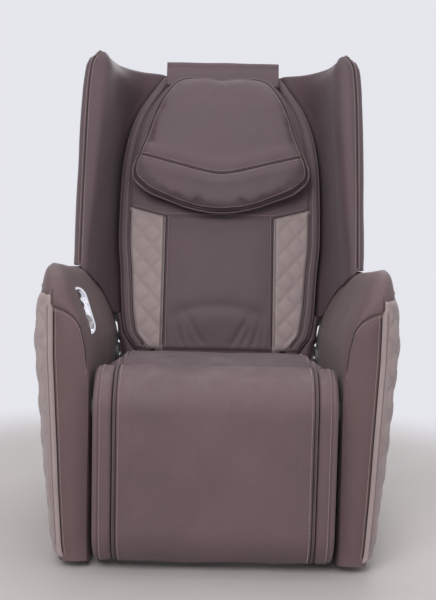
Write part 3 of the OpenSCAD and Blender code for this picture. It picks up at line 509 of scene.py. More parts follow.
class Graph:
    """Short ways to place and join nodes in one tree."""

    def __init__(self, tree: Tree) -> None:
        """Works on the tree given."""
        self.tree = tree

    def node(self, kind: str, inputs: dict[str | int, object] | None = None,
             **settings: object) -> bpy.types.Node:
        """Adds a node, sets it up, and sets or links its inputs.

        Args:
            kind: The node's type, without its ShaderNode prefix.
            inputs: A value or a socket for each input.
            settings: The node's own properties.

        Returns:
            The node.
        """
        n = self.tree.nodes.new("ShaderNode" + kind)
        for key, v in settings.items():
            setattr(n, key, v)
        for key, v in (inputs or {}).items():
            self.feed(v, n.inputs[key])
        return n

    def feed(self, value: object, socket: Socket) -> None:
        """Links a socket to another, or sets its value.

        Args:
            value: A socket or a plain value.
            socket: The input that takes it.
        """
        if isinstance(value, Socket):
            self.tree.links.new(value, socket)
        else:
            socket.default_value = value

    def math(self, op: str, a: object, b: object = 0.0) -> Socket:
        """One step of arithmetic."""
        return self.node("Math", {0: a, 1: b}, operation=op).outputs[0]

    def times(self, a: object, b: object) -> Socket:
        """Product of two values."""
        return self.math("MULTIPLY", a, b)

    def plus(self, a: object, b: object) -> Socket:
        """Sum of two values."""
        return self.math("ADD", a, b)

    def noise(self, scale: object, detail: float, roughness: float = 0.5,
              distortion: float = 0.0) -> Socket:
        """Noise fixed to the piece, from 0 to 1."""
        return self.node("TexNoise", {"Vector": where(self), "Scale": scale, "Detail": detail,
                                      "Roughness": roughness, "Distortion": distortion}).outputs["Fac"]

    def ramp(self, value: object, lo: float, hi: float, out_lo: float = 0.0,
             out_hi: float = 1.0) -> Socket:
        """Smooth step of a value between two levels.

        Args:
            value: What is measured.
            lo: Level where the step starts.
            hi: Level where it ends.
            out_lo: Result at the start.
            out_hi: Result at the end.

        Returns:
            The stepped value.
        """
        n = self.node("MapRange", {"Value": value, "From Min": lo, "From Max": hi,
                                   "To Min": out_lo, "To Max": out_hi})
        n.interpolation_type = "SMOOTHSTEP"
        return n.outputs["Result"]

    def blend(self, share: object, a: object, b: object) -> Socket:
        """Mixes two colours.

        Args:
            share: How much of b shows.
            a: First colour.
            b: Second colour.

        Returns:
            The mixed colour.
        """
        n = self.node("Mix", data_type="RGBA", blend_type="MIX")
        for key, v in (("Factor", share), ("A", a), ("B", b)):
            kind = "VALUE" if key == "Factor" else "RGBA"
            self.feed(v, next(i for i in n.inputs if i.name == key and i.type == kind))
        return next(o for o in n.outputs if o.type == "RGBA")

    def seen(self) -> Socket:
        """1 for what the camera sees directly, in a reflection or through glass, and 0 for lighting.

        Returns:
            The mask.
        """
        path = self.node("LightPath").outputs
        return self.math("MAXIMUM", path["Is Camera Ray"],
                         self.math("MAXIMUM", path["Is Glossy Ray"], path["Is Transmission Ray"]))

    def mix_output(self, share: Socket, first: bpy.types.Node, second: bpy.types.Node, kind: str) -> None:
        """Feeds the mix of two shaders to the tree's output.

        Args:
            share: How much of the second one shows.
            first: The first shader.
            second: The second shader.
            kind: Type of the output node.
        """
        both = self.node("MixShader", {0: share, 1: first.outputs[0], 2: second.outputs[0]})
        out = next(n for n in self.tree.nodes if n.type == kind)
        self.tree.links.new(both.outputs[0], out.inputs[0])


class Effect:
    """A shader node group with named inputs and outputs, built once."""

    made: dict[str, Tree] = {}

    @classmethod
    def get(cls, name: str, inputs: dict[str, float], outputs: Sequence[str],
            body: Callable[[Graph, Getter], Sockets]) -> Tree:
        """Finds or builds a group.

        Args:
            name: The group's name.
            inputs: Its number inputs and their defaults.
            outputs: Its number outputs.
            body: Builds the inside and returns a socket for each output.

        Returns:
            The group's tree.
        """
        if name in cls.made:
            return cls.made[name]
        tree = bpy.data.node_groups.new(name, "ShaderNodeTree")
        for key, v in inputs.items():
            s = tree.interface.new_socket(key, in_out="INPUT", socket_type="NodeSocketFloat")
            s.default_value = v
        for key in outputs:
            tree.interface.new_socket(key, in_out="OUTPUT", socket_type="NodeSocketFloat")
        g = Graph(tree)
        gin, gout = tree.nodes.new("NodeGroupInput"), tree.nodes.new("NodeGroupOutput")
        for key, socket in body(g, lambda k: gin.outputs[k]).items():
            tree.links.new(socket, gout.inputs[key])
        cls.made[name] = tree
        return tree


def place(g: Graph, tree: Tree, **values: object) -> bpy.types.Node:
    """Places a group in a material with its own values; an underscore stands for a space.

    Args:
        g: The material's graph.
        tree: The group.
        values: Its inputs, by name.

    Returns:
        The group node.
    """
    n = g.tree.nodes.new("ShaderNodeGroup")
    n.node_tree = tree
    for key, v in values.items():
        g.feed(v, n.inputs[key.replace("_", " ").capitalize()])
    return n


def where(g: Graph) -> Socket:
    """Place on the piece, in metres."""
    return g.node("TexCoord").outputs["Object"]


def leather_group() -> Tree:
    """Grain, creases and slow mottling of finished leather.

    Returns:
        The node group.
    """
    def body(g: Graph, get: Getter) -> Sockets:
        """Builds the inside of the group.

        Args:
            g: The group's graph.
            get: Finds one of the group's inputs by its name.

        Returns:
            What the group puts out, by name.
        """
        at = where(g)
        scale = get("Pebble scale")
        warp = g.node("TexNoise", {"Vector": at, "Scale": 90.0, "Detail": 2.0}).outputs["Color"]
        bent = g.node("VectorMath", {0: warp, 1: (0.006, 0.006, 0.006)}, operation="MULTIPLY").outputs[0]
        moved = g.node("VectorMath", {0: at, 1: bent}, operation="ADD").outputs[0]
        cell = g.node("TexVoronoi", {"Vector": moved, "Scale": scale}, feature="DISTANCE_TO_EDGE")
        pebble = g.ramp(cell.outputs["Distance"], 0.0, 0.22)
        fine = g.noise(g.times(scale, 3.1), 3.0, 0.6)
        crease = g.noise(34.0, 5.0, 0.62, 0.8)
        height = g.plus(g.plus(g.times(pebble, 0.55), g.times(fine, 0.45)),
                        g.times(g.math("SUBTRACT", crease, 0.5), get("Crease depth")))
        return {"Height": height, "Pebble": pebble, "Mottle": g.noise(7.0, 3.0, 0.55), "Crease": crease}
    return Effect.get("leather_grain", {"Pebble scale": 900.0, "Crease depth": 1.0},
                      ["Height", "Pebble", "Mottle", "Crease"], body)


def rub_highlight_and_hollow_shade_group() -> Tree:
    """Lighter convex edges, partly rubbed wear and partly painted highlight, and painted shade in hollows.

    Returns:
        The node group.
    """
    def body(g: Graph, get: Getter) -> Sockets:
        """Builds the inside of the group.

        Args:
            g: The group's graph.
            get: Finds one of the group's inputs by its name.

        Returns:
            What the group puts out, by name.
        """
        bent = g.node("NewGeometry").outputs["Pointiness"]
        grit = g.math("SUBTRACT", g.noise(60.0, 4.0), 0.5)
        # convex places: a mask that is partly rub wear and partly painted highlight; concave places: a mask
        # of painted shade
        edge_rub_and_highlight = g.ramp(g.plus(bent, g.times(grit, 0.05)), 0.515, 0.60)
        return {"Rub": g.times(edge_rub_and_highlight, get("Rub amount")),
                "Hollow": g.times(g.ramp(bent, 0.49, 0.42), get("Hollow amount"))}
    return Effect.get("handling_wear", {"Rub amount": 0.5, "Hollow amount": 0.5},
                      ["Rub", "Hollow"], body)


def dust_group() -> Tree:
    """Thin dust on what faces up, broken by noise.

    Returns:
        The node group.
    """
    def body(g: Graph, get: Getter) -> Sockets:
        """Builds the inside of the group.

        Args:
            g: The group's graph.
            get: Finds one of the group's inputs by its name.

        Returns:
            What the group puts out, by name.
        """
        up = g.node("SeparateXYZ", {0: g.node("NewGeometry").outputs["Normal"]}).outputs["Z"]
        mask = g.times(g.ramp(up, 0.3, 1.0), g.ramp(g.noise(22.0, 6.0, 0.7), 0.35, 0.75))
        return {"Dust": g.times(mask, get("Dust amount"))}
    return Effect.get("settled_dust", {"Dust amount": 0.2}, ["Dust"], body)


def brushed_group() -> Tree:
    """Fine parallel scratches of brushed or ground metal, along the piece's X.

    Returns:
        The node group.
    """
    def body(g: Graph, get: Getter) -> Sockets:
        """Builds the inside of the group.

        Args:
            g: The group's graph.
            get: Finds one of the group's inputs by its name.

        Returns:
            What the group puts out, by name.
        """
        m = g.node("Mapping", {"Vector": where(g), "Scale": (40.0, 1500.0, 1500.0)})
        line = g.node("TexNoise", {"Vector": m.outputs[0], "Scale": 1.0, "Detail": 4.0,
                                   "Roughness": 0.7}).outputs["Fac"]
        return {"Height": g.times(line, get("Line depth")), "Line": line, "Smear": g.noise(45.0, 4.0)}
    return Effect.get("brushed_lines", {"Line depth": 1.0}, ["Height", "Line", "Smear"], body)


def coat_group() -> Tree:
    """Orange peel of powder coat and moulded plastic, with a slow unevenness.

    Returns:
        The node group.
    """
    def body(g: Graph, get: Getter) -> Sockets:
        """Builds the inside of the group.

        Args:
            g: The group's graph.
            get: Finds one of the group's inputs by its name.

        Returns:
            What the group puts out, by name.
        """
        size = get("Peel scale")
        speck = g.node("TexVoronoi", {"Vector": where(g), "Scale": g.times(size, 1.7)}).outputs["Distance"]
        return {"Height": g.plus(g.noise(size, 2.0), g.times(speck, 0.4)), "Slow": g.noise(12.0, 4.0)}
    return Effect.get("coat_texture", {"Peel scale": 700.0}, ["Height", "Slow"], body)


def quilting_group() -> Tree:
    """Stitched lines of diamond quilting with painted shade in its valleys and seam creases, from the quilt
    attribute's two coordinates.

    Returns:
        The node group.
    """
    def body(g: Graph, get: Getter) -> Sockets:
        """Builds the inside of the group.

        Args:
            g: The group's graph.
            get: Finds one of the group's inputs by its name.

        Returns:
            What the group puts out, by name.
        """
        a = g.node("Attribute", attribute_name="quilt").outputs["Vector"]
        sep = g.node("SeparateXYZ", {0: a})
        lines, dashes = [], []
        for k, along in ((0, 1), (1, 0)):
            v = g.math("FRACT", g.plus(sep.outputs[k], 0.5))
            d = g.math("ABSOLUTE", g.math("SUBTRACT", v, 0.5))
            lines.append(d)
            f = g.math("FRACT", g.times(sep.outputs[along], get("Stitches per side")))
            dash = g.math("GREATER_THAN", f, 0.32)
            dashes.append(g.times(g.ramp(d, 0.026, 0.012), dash))
        near = g.math("MINIMUM", lines[0], lines[1])
        # painted shade: a broad mask for the valleys and a narrow one for the seam creases
        return {"Valley shade": g.ramp(near, 0.16, 0.0), "Seam": g.ramp(near, 0.05, 0.015),
                "Thread": g.math("MAXIMUM", dashes[0], dashes[1])}
    return Effect.get("diamond_quilting", {"Stitches per side": 11.0},
                      ["Valley shade", "Seam", "Thread"], body)


# ---------------------------------------------------------------- finishes


@dataclass(frozen=True)
class Finish:
    """What every finish has: a name, a colour in sRGB and a roughness."""

    name: str
    colour: Rgb
    roughness: float = 0.5

    def start(self) -> tuple[Material, Graph, bpy.types.Node]:
        """Makes the material and returns it with its graph and its Principled shader.

        Returns:
            The material, its graph and its Principled shader.
        """
        mat = bpy.data.materials.new(self.name)
        mat.use_nodes = True
        shader = mat.node_tree.nodes["Principled BSDF"]
        mat.diffuse_color = linear(self.colour)
        return mat, Graph(mat.node_tree), shader

    def shade(self, factor: float) -> tuple[float, float, float, float]:
        """The colour made lighter or darker."""
        r, g, b, a = linear(self.colour)
        return (min(r * factor, 1), min(g * factor, 1), min(b * factor, 1), a)

    def bumped(self, g: Graph, shader: bpy.types.Node, height: object, distance: float) -> None:
        """Feeds a height to the shader's normal."""
        n = g.node("Bump", {"Height": height, "Distance": distance, "Strength": 1.0})
        g.feed(n.outputs["Normal"], shader.inputs["Normal"])


@dataclass(frozen=True)
class Leather(Finish):
    """Semi-matt upholstery leather with grain, mottling, lighter creases, edges lightened partly by rub wear
    and partly as painted highlight, painted shade in hollows, and some dust.
    """

    pebble: float = 900.0
    depth: float = 0.00022
    crease: float = 1.0
    rub: float = 0.35
    dust: float = 0.12
    quilted: bool = False
    sheen: float = 0.12

    def build(self) -> Material:
        """Makes the material.

        Returns:
            The material.
        """
        mat, g, shader = self.start()
        grain = place(g, leather_group(), pebble_scale=self.pebble, crease_depth=self.crease).outputs
        wear = place(g, rub_highlight_and_hollow_shade_group(), rub_amount=self.rub, hollow_amount=0.6).outputs
        dust = place(g, dust_group(), dust_amount=self.dust).outputs["Dust"]
        col = g.blend(g.ramp(grain["Mottle"], 0.3, 0.7), self.shade(0.94), self.shade(1.07))
        col = g.blend(g.times(g.ramp(grain["Pebble"], 0.6, 0.0), 0.35), col, self.shade(0.55))
        col = g.blend(g.times(g.ramp(grain["Crease"], 0.62, 0.75), 0.25), col, self.shade(1.35))
        # painted shade darkens the hollows; the lighter convex edges are partly rub wear and partly painted
        # highlight
        col = g.blend(wear["Hollow"], col, self.shade(0.42))
        col = g.blend(wear["Rub"], col, self.shade(1.55))
        height: object = grain["Height"]
        if self.quilted:
            q = place(g, quilting_group(), stitches_per_side=11.0).outputs
            # painted shade in the quilt's valleys and in its seam creases; the thread dashes are the thread's
            # own colour
            col = g.blend(g.times(q["Valley shade"], 0.35), col, self.shade(0.7))
            col = g.blend(g.times(q["Seam"], 0.55), col, self.shade(0.45))
            col = g.blend(q["Thread"], col, self.shade(1.45))
            height = g.plus(height, g.times(q["Thread"], 2.4))
        col = g.blend(dust, col, linear((196, 190, 186)))
        g.feed(col, shader.inputs["Base Color"])
        rough = g.plus(g.ramp(grain["Mottle"], 0.3, 0.7, self.roughness - 0.05, self.roughness + 0.07),
                       g.times(wear["Rub"], -0.12))
        g.feed(g.plus(rough, g.times(dust, 0.3)), shader.inputs["Roughness"])
        shader.inputs["Sheen Weight"].default_value = self.sheen
        shader.inputs["Sheen Roughness"].default_value = 0.45
        shader.inputs["Specular IOR Level"].default_value = 0.42
        self.bumped(g, shader, height, self.depth)
        return mat


@dataclass(frozen=True)
class Thread(Finish):
    """Twisted sewing thread."""

    def build(self) -> Material:
        """Makes the material.

        Returns:
            The material.
        """
        mat, g, shader = self.start()
        twist = g.node("TexWave", {"Vector": where(g), "Scale": 900.0, "Distortion": 1.5},
                       bands_direction="DIAGONAL").outputs["Fac"]
        g.feed(g.blend(twist, self.shade(0.7), self.shade(1.2)), shader.inputs["Base Color"])
        shader.inputs["Roughness"].default_value = self.roughness
        self.bumped(g, shader, twist, 0.0003)
        return mat


@dataclass(frozen=True)
class Metal(Finish):
    """Bare metal: chromed, ground, brushed or cast."""

    brushed: float = 0.0
    depth: float = 0.00004
    peel: float = 0.0
    dust: float = 0.1

    def build(self) -> Material:
        """Makes the material.

        Returns:
            The material.
        """
        mat, g, shader = self.start()
        lines = place(g, brushed_group(), line_depth=max(self.brushed, 0.02)).outputs
        wear = place(g, rub_highlight_and_hollow_shade_group(), rub_amount=0.5, hollow_amount=0.7).outputs
        dust = place(g, dust_group(), dust_amount=self.dust).outputs["Dust"]
        col = g.blend(g.times(lines["Line"], self.brushed * 0.6), self.shade(1.08), self.shade(0.72))
        col = g.blend(g.times(g.ramp(lines["Smear"], 0.5, 0.8), 0.2), col, self.shade(0.8))
        # painted shade darkens the hollows; the brighter convex edges are partly rub wear and partly painted
        # highlight
        col = g.blend(wear["Hollow"], col, self.shade(0.3))
        col = g.blend(g.times(wear["Rub"], 0.6), col, self.shade(1.25))
        g.feed(g.blend(dust, col, linear((170, 164, 160))), shader.inputs["Base Color"])
        shader.inputs["Metallic"].default_value = 1.0
        spread = 0.16 * self.brushed + 0.08
        g.feed(g.plus(g.ramp(lines["Smear"], 0.3, 0.75, self.roughness - spread / 3,
                                    self.roughness + spread), g.times(dust, 0.4)),
               shader.inputs["Roughness"])
        height: object = lines["Height"]
        if self.peel:
            coat = place(g, coat_group(), peel_scale=self.peel).outputs
            height = g.plus(height, coat["Height"])
        self.bumped(g, shader, height, self.depth)
        return mat


@dataclass(frozen=True)
class Coated(Finish):
    """Powder coat, moulded plastic or rubber."""

    peel: float = 700.0
    depth: float = 0.00008
    rub: float = 0.45
    dust: float = 0.25
    coat: float = 0.0
    rub_and_highlight_colour: Rgb = (120, 120, 124)

    def build(self) -> Material:
        """Makes the material.

        Returns:
            The material.
        """
        mat, g, shader = self.start()
        skin = place(g, coat_group(), peel_scale=self.peel).outputs
        wear = place(g, rub_highlight_and_hollow_shade_group(), rub_amount=self.rub, hollow_amount=0.5).outputs
        dust = place(g, dust_group(), dust_amount=self.dust).outputs["Dust"]
        col = g.blend(g.ramp(skin["Slow"], 0.3, 0.7), self.shade(0.85), self.shade(1.2))
        # painted shade darkens the hollows; convex edges take the rub colour, partly wear and partly painted
        # highlight
        col = g.blend(wear["Hollow"], col, self.shade(0.4))
        col = g.blend(g.times(wear["Rub"], 0.7), col, linear(self.rub_and_highlight_colour))
        g.feed(g.blend(dust, col, linear((150, 145, 140))), shader.inputs["Base Color"])
        g.feed(g.plus(g.ramp(skin["Slow"], 0.3, 0.7, self.roughness - 0.06, self.roughness + 0.08),
                      g.times(dust, 0.3)), shader.inputs["Roughness"])
        shader.inputs["Coat Weight"].default_value = self.coat
        self.bumped(g, shader, skin["Height"], self.depth)
        return mat


class Slot(Enum):
    """The record's material slots."""

    BROWN = "brown_leather"
    QUILT = "quilted_panel"
    STEEL = "painted_steel"
    BRIGHT = "bright_steel"
    CHROME = "chrome_trim"
    BRUSHED = "brushed_metal"
    BLACK = "black_plastic"
    CAST = "cast_alloy"
    REAR = "rear_vinyl"
    RUBBER = "black_rubber"
    ROLLER = "roller_plastic"


@dataclass
class Workshop:
    """Every material of the chair, made once."""

    brown: Material = field(init=False)
    wing: Material = field(init=False)
    cushion: Material = field(init=False)
    leg: Material = field(init=False)
    quilt: Material = field(init=False)
    quilt_plain: Material = field(init=False)
    cord: Material = field(init=False)
    fold: Material = field(init=False)
    dark_thread: Material = field(init=False)
    pale_thread: Material = field(init=False)
    slots: dict[Slot, Material] = field(init=False)

    def __post_init__(self) -> None:
        """Builds the finishes."""
        self.brown = Leather("armrest_leather", (110, 88, 90), 0.46).build()
        self.wing = Leather("wing_leather", (100, 82, 88), 0.52).build()
        self.cushion = Leather("cushion_leather", (103, 86, 92), 0.5).build()
        self.leg = Leather("leg_rest_leather", (112, 91, 94), 0.44).build()
        self.quilt = Leather("quilted_leather", (178, 161, 161), 0.55, pebble=1100.0,
                             quilted=True, rub=0.25, sheen=0.2).build()
        self.quilt_plain = Leather("binding_leather", (186, 169, 168), 0.55, pebble=1100.0,
                                   rub=0.25, sheen=0.2).build()
        self.cord = Leather("piping_leather", (120, 100, 105), 0.42, depth=0.00015).build()
        # painted shade: near-black leather for the cords laid in seam grooves
        self.fold = Leather("painted_seam_shadow", (50, 38, 42), 0.62, depth=0.0001, rub=0.05, dust=0.04,
                            sheen=0.02).build()
        self.dark_thread = Thread("brown_thread", (196, 172, 170), 0.6).build()
        self.pale_thread = Thread("pale_thread", (128, 108, 108), 0.6).build()
        self.slots = {
            Slot.BROWN: self.brown,
            Slot.QUILT: self.quilt_plain,
            Slot.STEEL: Coated("powder_coated_steel", (48, 48, 52), 0.42, peel=900.0).build(),
            Slot.BRIGHT: Metal("ground_steel", (196, 196, 199), 0.26, brushed=0.6).build(),
            Slot.CHROME: Metal("chromed_trim", (226, 226, 230), 0.09, brushed=0.0, dust=0.03).build(),
            Slot.BRUSHED: Metal("brushed_dial", (200, 197, 194), 0.3, brushed=1.0, dust=0.03).build(),
            Slot.BLACK: Coated("moulded_plastic", (33, 33, 36), 0.5, peel=1200.0, rub=0.3).build(),
            Slot.CAST: Metal("cast_alloy", (176, 176, 180), 0.42, peel=900.0, depth=0.00012).build(),
            Slot.REAR: Leather("backing_leather", (92, 74, 78), 0.58, pebble=1300.0,
                               crease=0.5).build(),
            Slot.RUBBER: Coated("tyre_rubber", (30, 30, 31), 0.72, peel=500.0, rub=0.15, dust=0.4).build(),
            Slot.ROLLER: Coated("roller_plastic", (176, 164, 156), 0.28, peel=1500.0, depth=0.00002,
                                rub=0.2, coat=0.4, rub_and_highlight_colour=(214, 206, 200)).build(),
        }


def carry(body: str, slot: Slot, *pieces: Object) -> None:
    """Lets pieces ride on a body.

    Args:
        body: The body's name.
        slot: Not used.
        pieces: The mesh objects.
    """
    for piece in pieces:
        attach(piece, body)


# ---------------------------------------------------------------- armrests


class Zone(Enum):
    """Parts of the armrest's section, in order from its inner foot."""

    WALL = 0
    CROWN_IN = 1
    CROWN_OUT = 2
    FLANK = 3


@dataclass
class Armrest:
    """Upholstered armrest with its quilted side panel; built on +X and mirrored for the left."""

    side: Side
    inner: float = 0.243
    outer: float = 0.370
    front: float = -0.432
    foot: float = 0.015
    reach: float = 0.212
    slope: float = math.radians(5)
    seam_r: float = 0.167
    pivot: tuple[float, float] = PIVOT
    relief: float = 0.0042
    bed: float = 0.005
    binding: float = 0.012

    def __post_init__(self) -> None:
        """Draws the crown's curves."""
        w, h, r = self.inner, self.outer, self.reach
        up = spline([(w, r - .152), (w + .009, r - .116), (w + .023, r - .080), (w + .038, r - .046),
                     (w + .053, r - .018), (w + .069, r - .004), (h - .043, r)], 16)
        down = spline([(h - .043, r), (h - .029, r - .007), (h - .018, r - .025), (h - .008, r - .057),
                       (h - .002, r - .097), (h, r - .137), (h - .002, r - .187), (h - .006, -.020),
                       (h - .006, -.080)], 16)
        self.up, self.down = up, down
        self.drift = spline([(.015, .042), (.025, .034), (.060, .026), (.120, .020), (.180, .014),
                             (.260, .007), (.330, 0)], 8)

    def in_x(self, r: Array) -> Array:
        """Inner side's x at height r over the pivot."""
        return np.interp(r, self.up[:, 1], self.up[:, 0])

    def out_x(self, r: Array) -> Array:
        """Outer side's x at height r over the pivot."""
        return np.interp(r, self.down[::-1, 1], self.down[::-1, 0])

    def base(self, y: Array) -> Array:
        """Height of the pivot's own level at y."""
        d = y - self.pivot[0]
        return np.where(d < 0, d * math.sin(self.slope), d)

    def level(self, y: Array, r: Array) -> Array:
        """World height of r at y.

        Args:
            y: Stations along the chair.
            r: Distances over the pivot's own level.

        Returns:
            World heights.
        """
        b = self.base(y)
        ahead = (r - b) / math.cos(self.slope)
        behind = np.sqrt(np.maximum(r * r - b * b, 0))
        return self.pivot[1] + np.where(y < self.pivot[0], ahead, behind)

    def rise(self, y: Array, r: Array) -> Array:
        """How far the crown stands up at its front."""
        return .006 * smooth(r, .13, .205) * (1 - smooth(y, -.32, -.10))

    def taper(self, y: Array) -> Array:
        """How far the outer side draws in towards the front."""
        return .0135 * (1 - smooth(y, -.30, .10))

    def flank_x(self, y: Array, z: Array) -> Array:
        """Outer side's x at y and world height z.

        Args:
            y: Stations along the chair.
            z: World heights.

        Returns:
            x of the outer side.
        """
        b = self.base(y)
        r = np.where(y < self.pivot[0], (z - self.pivot[1]) * math.cos(self.slope) + b,
                     np.hypot(z - self.pivot[1], b))
        x0 = self.out_x(b)
        k = np.minimum(1, (x0 - self.in_x(np.maximum(b, .06))) / .070)
        low = x0 - k * np.interp(z, self.drift[:, 0], self.drift[:, 1])
        return np.where(z >= self.pivot[1], self.out_x(r), low)

    def section(self, zone: Zone, g: float, y: Array) -> tuple[Array, Array]:
        """Place (x, z) on the section at y.

        Args:
            zone: Part of the section.
            g: Share of the way through that part.
            y: Stations along the chair.

        Returns:
            x and z at each station.
        """
        b = np.maximum(self.base(y), 0)
        lo = np.maximum(.060, b)
        if zone is Zone.WALL:
            return self.in_x(lo), mix(self.foot, self.level(y, lo), g)
        if zone is Zone.CROWN_IN:
            t0 = np.interp(lo, self.up[:, 1], np.linspace(0, 1, len(self.up)))
            t = mix(t0, 1.0, g)
            x, r = (np.interp(t, np.linspace(0, 1, len(self.up)), self.up[:, k]) for k in (0, 1))
            return x, self.level(y, np.maximum(r, b)) + self.rise(y, r)
        seam = np.maximum(self.seam_r, b)
        if zone is Zone.CROWN_OUT:
            t = np.linspace(0, 1, len(self.down))
            t1 = np.interp(-seam, -self.down[:, 1], t)
            at = g * t1
            x, r = (np.interp(at, t, self.down[:, k]) for k in (0, 1))
            z = self.level(y, np.maximum(r, b)) + self.rise(y, r) * (1 - g)
            return x - self.taper(y) * g, z
        z = mix(self.level(y, seam), self.foot, g)
        return self.flank_x(y, z) - self.taper(y), z

    def edge(self, zone: Zone, g: float) -> tuple[float, float, float, float]:
        """Where a line starts on the front face, and where its rounding ends.

        Args:
            zone: Part of the section.
            g: Share of the way through it.

        Returns:
            x, z and y of the start, and y of the rounding's end.
        """
        f = self.front
        x, z = (float(v) for v in self.section(zone, g, np.array(f + .06)))
        if zone is Zone.WALL:
            qx = float(lookup([(.015, .2450), (.200, .2450), (.396, .2450), (.445, .2500)], z))
            qz = float(lookup([(.015, .015), (.200, .200), (.396, .375), (.445, .394)], z))
            return qx, qz, f, f + float(lookup([(.20, .025), (.396, .040), (.45, .060)], z))
        if zone is Zone.FLANK:
            qx = float(lookup([(.015, .2935), (.05, .2975), (.16, .3035), (.25, .3070), (.35, .3115),
                               (.42, .3145), (.48, .3150), (.546, .3145)], z))
            return qx, z, self.roll_y(z), f + .080
        keys = [(.243, .2500, .394), (.252, .2530, .432), (.266, .2610, .476), (.281, .2735, .494),
                (.296, .2870, .504), (.312, .2985, .510), (.327, .3070, .5125), (.341, .3115, .5135),
                (.3445, .3150, .514), (.350, .3148, .528), (.3555, .3145, .546)]
        qx = float(np.interp(x, [k[0] for k in keys], [k[1] for k in keys]))
        qz = float(np.interp(x, [k[0] for k in keys], [k[2] for k in keys]))
        if zone is Zone.CROWN_OUT:
            qz = mix(qz, .546, float(smooth(g, .85, 1.0))) if g > .85 else qz
            return qx, qz, self.roll_y(qz), f + mix(.092, .080, g)
        return qx, qz, f, f + float(lookup([(.243, .060), (.266, .092)], x))

    def roll_y(self, z: float) -> float:
        """y of the front roll at height z."""
        s = min(max((z - .513) / .074, 0), .999)
        return self.front + .092 * (1 - math.cos(math.asin(s)))

    def line(self, zone: Zone, g: float, fine: int) -> Array:
        """One line from the front face to the rear end.

        Args:
            zone: Part of the section.
            g: Share of the way through it.
            fine: Steps in the front's rounding.

        Returns:
            Points, front to rear.
        """
        qx, qz, y0, ye = self.edge(zone, g)
        th = np.pi / 2 * np.linspace(0, 1, fine) ** 1.25
        yf = y0 + (ye - y0) * (1 - np.cos(th))
        xf, zf = self.section(zone, g, yf)
        w = np.sin(th)
        yb = np.r_[np.linspace(ye, -.330, 5)[1:], np.linspace(-.330, self.pivot[0], 24)[1:],
                   self.pivot[0] + .212 * np.sin(np.linspace(0, math.radians(80.5), 30)[1:])]
        xb, zb = self.section(zone, g, yb)
        return np.stack([np.r_[mix(qx, xf, w), xb], np.r_[yf, yb], np.r_[mix(qz, zf, w), zb]], 1)

    def leather(self, mat: Material) -> Object:
        """The brown cover: front face, inner side, crown, rear end and the bed of the panel.

        Args:
            mat: Finish of the piece.

        Returns:
            The cover.
        """
        lines, beds = [], []
        fine = 18
        plan = [(Zone.WALL, g) for g in np.r_[0, .02, np.linspace(.07, 1, 15)[:-1]]]
        plan += [(Zone.CROWN_IN, g) for g in np.linspace(0, 1, 26)[:-1]]
        plan += [(Zone.CROWN_OUT, g) for g in np.linspace(0, 1, 16)]
        # the front face's rows run level from the inner edge to the outer one
        heights = np.array([self.edge(*row)[1] for row in plan])
        left = np.nonzero(heights < .5145)[0]
        levels = np.minimum(heights[left], .5128 - .0015 * np.arange(len(left))[::-1])
        head = float(self.level(np.array(self.front + .06), np.array(self.seam_r)))
        drops = (head - levels[::-1]) / (head - self.foot)
        plan += [(Zone.FLANK, g) for g in (.012, .03, .042, *drops)]
        for zone, g in plan:
            lines.append(self.line(zone, g, fine))
            beds.append(1.0 if zone is Zone.FLANK and .02 < g < .99 else 0.0)
        p = np.array(lines)
        n = normals_of(p)
        n *= np.sign((n[8, 30] * np.array([-1, 0, 0])).sum())
        bed = np.array(beds)[:, None] * np.where(p[..., 1] < .297, 1, 0) * self.bed
        j = np.arange(p.shape[1])
        groove = 0.0022 * bump(np.linalg.norm(p - p[:, :1], axis=2), .0035)
        swell = 0.0011 * ripple(p, .075, 3.1 if self.side is Side.LEFT else 8.4) * smooth(j, 3, 14)
        p = p - n * (bed + groove * (bed == 0))[..., None] + n * swell[..., None]
        p[..., 2] = np.maximum(p[..., 2], self.foot)
        skin = Skin()
        body = skin.grid(p, flip=True)
        # floor side and rear end
        skin.join(np.stack([body[-1], body[0]]), flip=True)
        skin.fan(body[:, -1])
        right = np.arange(len(plan) - 1, len(plan) - 1 - len(left), -1)
        inner, outer = p[left, 0], p[right, 0]
        wide = np.linalg.norm(outer - inner, axis=1)
        face = [body[left, 0]]
        for t in (.03, .07, .13, .22, .35, .5, .65, .78, .87, .93, .97):
            q = mix(inner, outer, t)
            q[:, 1] -= .0065 * np.sin(np.clip(wide * min(t, 1 - t) / .036, 0, 1) * np.pi / 2)
            q[:, 1] -= .0007 * ripple(q, .07, 1.7) * smooth(wide * min(t, 1 - t), 0, .02)
            face.append(skin.add(q))
        face.append(body[right, 0])
        skin.join(np.array(face), flip=True)
        skin.fan(body[left[-1] : right[-1] + 1, 0])
        return self.finish_mesh(skin, f"armrest_{self.side.word}_leather", mat)

    def quilt_points(self, columns: int, rows: int) -> Array:
        """Points of the quilted panel without its relief, from its upper seam down.

        Args:
            columns: Points along the chair.
            rows: Points from the seam down.

        Returns:
            The grid of points.
        """
        out = []
        for g in np.linspace(0.004, .988, rows):
            path = self.line(Zone.FLANK, g, 26)
            stop = self.pivot[0] + self.seam_r - .003
            keep = path[:, 1] < stop
            k = int(keep.sum())
            t = (stop - path[k - 1, 1]) / (path[k, 1] - path[k - 1, 1])
            path = np.vstack([path[:k], mix(path[k - 1], path[k], t)])
            out.append(spaced(path, columns))
        return np.array(out)

